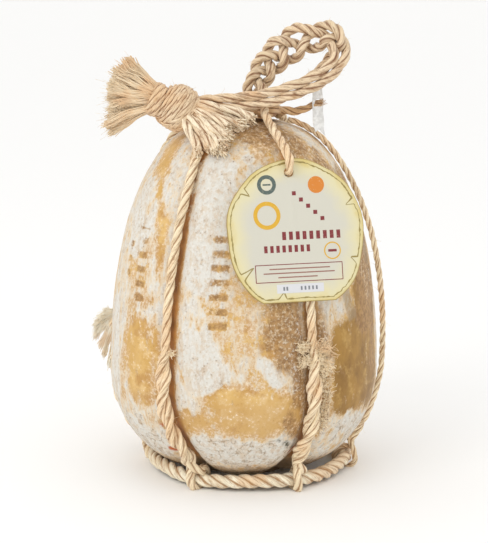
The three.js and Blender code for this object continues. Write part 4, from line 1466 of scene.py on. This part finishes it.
# The loop's middle line, first as a pair of ropes from the knot, then as a plait down to the crown, and the
# places where the third rope comes in.
PAIR_ROUTE = [
    (-24, -21, 251), (-8, -22, 252), (13, -23, 254.6), (29, -20, 259), (45, -15, 264.5), (56.5, -9, 271.5),
    (63, -4, 279.5), (64, -1, 286),
]
PLAIT_ROUTE = [
    (62, 2, 291.5), (56, 5, 294.5), (46, 8, 293), (35, 9, 289.5), (24.5, 8, 283), (17, 7, 276),
    (11.5, 5, 268.5), (8.5, 2, 262), (8, -1, 257), (8.5, -4, 251),
]
THIRD_ROPE = [(44, 2, 266), (51, 8, 271), (57, 9, 279)]
PLAIT_STARTS, PLAIT_TURNS, PLAIT_DEPTH = 0.56, 1.75, -4.6


def loop_paths():
    """The three ropes of the hanging loop. Two run side by side and turn over; with the third they form a
    plait, each rope swaying across as sin(phase) and through as sin(2 phase), a third of a turn apart."""
    middle = smooth_path(PAIR_ROUTE + PLAIT_ROUTE, 0.5)
    share = lengths_along(middle) / lengths_along(middle)[-1]
    along = unit(np.gradient(middle, axis=0))
    face = unit(np.array([0, -1.0, 0]) + along * along[:, 1:2])
    across = np.cross(along, face)
    woven_share = np.clip((share - PLAIT_STARTS) / (1 - PLAIT_STARTS), 0, 1)
    wide = 5.6 + 3.6 * np.sin(math.pi * np.minimum(woven_share * 1.15, 1)) ** 2
    paths = []
    for order in range(3):
        phase = 2 * math.pi * (PLAIT_TURNS * woven_share + order / 3) + 0.35 * np.sin(9 * woven_share + 0.8)
        woven = np.ones_like(share) if order == 0 else ease(-0.09, 0, share - PLAIT_STARTS)
        side = mix(3.05 * (1 if order == 1 else -1), wide * np.sin(phase), woven)
        deep = mix(0, PLAIT_DEPTH * np.sin(2 * phase), woven)
        path = middle + across * column(side) - face * column(deep)
        if order == 0:
            path = np.vstack([THIRD_ROPE, path[share >= PLAIT_STARTS][::8]])
        else:
            path = np.vstack([(-37, -20, 249.5), path[::8]])
        path = smooth_path(path, 0.7)
        travelled = lengths_along(path)
        thick = 3.5 if order == 0 else mix(3.35, 3.5, ease(0.5, 0.6, travelled / travelled[-1]))
        paths.append((path, thick))
    return paths


class CHEESE_OT_loop(bpy.types.Operator):
    """The hanging loop: a pair of ropes that turns over into a plait"""

    bl_idname = "cheese.loop"
    bl_label = "Hanging loop"

    def execute(self, context):
        loop_straw = straw("straw_loop", (234, 210, 176), (146, 102, 64))
        for number, (path, thick) in enumerate(loop_paths()):
            woven = 1.0 if number == 0 else ease(0.5, 0.62, np.linspace(0, 1, len(path)))
            lay = mix(13.0, 8.2, woven)
            skins = fuzzy_rope(path, thick, [0.1, 1.0, 0.1], 600 + 10 * number, 60, 605 + number, lay)
            piece(f"loop_{number + 1}_laid", skins, loop_straw, [f"loop_rope_{number + 1}"])
        return {"FINISHED"}


class CHEESE_OT_tag(bpy.types.Operator):
    """The card tag with a plain generic print"""

    bl_idname = "cheese.tag"
    bl_label = "Card tag"

    def execute(self, context):
        plate = pierced_plate(tag_outline(400), TAG_HOLE_AT, TAG_HOLE, TAG_THICKNESS, on_tag, tag_bend)
        piece("tag_card", [plate], card_material(), ["tag"])
        box_x, box_y, box_wide, box_high, rule = 0.65, -27.3, 57.5, 11.0, 0.5
        red = [bar(x, -3.8, 2.5, 5.2) for x in np.arange(-8, 29, 4.5)]
        red += [bar(x, -12.0, 2.2, 4.4) for x in np.arange(-20.5, 11.5, 4.0)]
        red += [bar(mix(0, 18, s), mix(23, 6.5, s), 2.6, 2.6) for s in np.linspace(0, 1, 5)]
        red += [bar(box_x, box_y + rise, box_wide, rule) for rise in (5.5, -5.5)]
        red += [bar(x, box_y, rule, box_high) for x in (-28.0, 29.3)]
        red.append(bar(23.4, -14.3, 5.6, 1.6))
        rules = [bar(1.1, -24.6, 40, 0.75), bar(0.6, box_y, 47, 0.75), bar(-0.4, -30.0, 26, 0.75)]
        yellow = [ring_line(-18.5, 9.5, 7.6, 2.6), ring_line(23.4, -14.3, 5.2, 0.8)]
        green = [ring_line(-17.6, 29.0, 5.0, 2.4), bar(-17.6, 29.0, 5.2, 1.0)]
        ticks = [bar(x, -37.2, 1.1, 2.4, 0.18) for x in (-10, -8, 1.5, 4, 6.5, 9, 11.5)]
        prints = {
            "print_red": (red, ink("red", 126, 40, 44)),
            "print_brown": (rules, ink("brown", 150, 104, 92)),
            "print_yellow": (yellow, ink("yellow", 216, 168, 44)),
            "print_green": (green, ink("green", 84, 98, 92)),
            "print_orange": ([disc(15.0, 28.0, 5.4)], ink("orange", 212, 128, 40)),
            "sticker": ([bar(0.8, -37.2, 31, 5.6, 0.12)], ink("white", 214, 214, 217)),
            "ticks": (ticks, ink("grey", 120, 124, 130)),
            "edge_line": ([edge_line()], ink("olive", 150, 132, 72)),
        }
        for name, (skins, colour) in prints.items():
            piece("tag_" + name, skins, colour, smooth=False)
        return {"FINISHED"}


# The strip's corners round the rope end, the lowest ones uneven like a torn edge.
STRIP_CORNERS = [(-3.6, -19.5), (0, -17.5), (4.9, -22.5), (4.7, -8), (4.3, 9), (-4.3, 9), (-4.5, -8)]


class CHEESE_OT_strip(bpy.types.Operator):
    """The white paper strip, strung on the short rope end"""

    bl_idname = "cheese.strip"
    bl_label = "Paper strip"

    def execute(self, context):
        faces = unit(np.array([0.60, -0.80, 0.04]))
        right = unit(np.cross(UP, faces))
        up = np.cross(faces, right)
        middle = np.array([49, -6, 250.5])
        corners = np.array([*STRIP_CORNERS, STRIP_CORNERS[0]], float)
        outline = evenly(np.column_stack([corners, np.zeros(len(corners))]), 0.5)[:-1, :2]

        def place(x, y, out):
            return middle + right * column(x) + up * column(y) + faces * column(out - 0.2)

        def bend(x, y):
            return -0.03 * x**2 * ease(2, -18, y) - 0.0035 * y * np.abs(y) + 0.4 * np.sin(0.5 * y + x * 0.3)

        plate = pierced_plate(outline, np.array([0.0, 0.0]), 2.6, 0.4, place, bend)
        piece("strip_paper", [plate], paper_material(), ["paper_strip"])
        return {"FINISHED"}


# The stage, in metres. The floor's rim is too far away to be seen. Each lamp has a place, its share of the
# key light's strength, and a size.
FLOOR_RADIUS = 45.0
LAMPS = {"key": ((-0.75, -1.0, 1.05), 1.0, 0.7), "fill": ((0.9, -0.9, 0.5), 0.06, 0.8)}
LENS, SENSOR_WIDTH = 117.0, 36.0
CAMERA_TARGET, CAMERA_DISTANCE, CAMERA_TILT = Vector((0, 0, 0.135)), 1.2, 11 * DEGREES


class CHEESE_OT_stage(bpy.types.Operator):
    """A pale floor, soft light and the camera"""

    bl_idname = "cheese.stage"
    bl_label = "Stage"

    def execute(self, context):
        scene = context.scene
        scene.view_settings.view_transform = "Standard"

        def placed(name, data, place=(0, 0, 0), target=None):
            """An object of the scene, turned to look at a target."""
            thing = bpy.data.objects.new(name, data)
            thing.location = place
            if target is not None:
                thing.rotation_euler = (target - thing.location).to_track_quat("-Z", "Y").to_euler()
            scene.collection.objects.link(thing)
            return thing

        mesh = bpy.data.meshes.new("floor")
        turn = np.linspace(0, 2 * math.pi, 64, endpoint=False)
        rim = np.stack([FLOOR_RADIUS * np.cos(turn), FLOOR_RADIUS * np.sin(turn), 0 * turn], -1)
        mesh.from_pydata(rim.tolist(), [], [list(range(64))])
        pale = {"Base Color": (0.97, 0.97, 0.965, 1), "Roughness": 0.8, "Specular IOR Level": 0.2}
        mesh.materials.append(finish_material("pale_floor", lambda tree: pale))
        floor = placed("floor", mesh)

        world = bpy.data.worlds.new("room")
        world.use_nodes = True
        background = world.node_tree.nodes["Background"]
        background.inputs["Color"].default_value = (1.0, 0.995, 0.985, 1)
        background.inputs["Strength"].default_value = settings().room_light
        scene.world = world
        for name, (place, power, size) in LAMPS.items():
            light = bpy.data.lights.new(name, "AREA")
            light.energy = settings().key_light * power
            light.size = size
            placed(name, light, place, Vector((0, 0, 0.12)))

        camera = bpy.data.cameras.new("camera")
        camera.lens, camera.sensor_width = LENS, SENSOR_WIDTH
        camera.clip_start, camera.clip_end = 0.1, 120
        back = Vector((0, -math.cos(CAMERA_TILT), math.sin(CAMERA_TILT)))
        scene.camera = placed("camera", camera, CAMERA_TARGET + CAMERA_DISTANCE * back, CAMERA_TARGET)
        return {"FINISHED"}


STEPS = ["rind", "net", "frays", "crown", "knot", "tassels", "loop", "tag", "strip", "stage"]


class CHEESE_PT_panel(bpy.types.Panel):
    """The steps that build the roped cheese, and its settings"""

    bl_idname = "CHEESE_PT_panel"
    bl_label = "Roped cheese"
    bl_space_type = "VIEW_3D"
    bl_region_type = "UI"
    bl_category = "Roped cheese"

    def draw(self, context):
        for step in STEPS:
            self.layout.operator("cheese." + step)
        for name in CheeseSettings.__annotations__:
            self.layout.prop(context.scene.roped_cheese, name)


CLASSES = [
    CheeseSettings, CHEESE_OT_rind, CHEESE_OT_net, CHEESE_OT_frays, CHEESE_OT_crown, CHEESE_OT_knot,
    CHEESE_OT_tassels, CHEESE_OT_loop, CHEESE_OT_tag, CHEESE_OT_strip, CHEESE_OT_stage, CHEESE_PT_panel,
]


def register():
    """Registers the classes and the scene's settings."""
    for cls in CLASSES:
        bpy.utils.register_class(cls)
    bpy.types.Scene.roped_cheese = bpy.props.PointerProperty(type=CheeseSettings)


def unregister():
    """Takes them away again."""
    del bpy.types.Scene.roped_cheese
    for cls in reversed(CLASSES):
        bpy.utils.unregister_class(cls)


def main():
    """Builds everything."""
    register()
    for step in STEPS:
        getattr(bpy.ops.cheese, step)()
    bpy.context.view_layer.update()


if __name__ == "__main__":
    main()
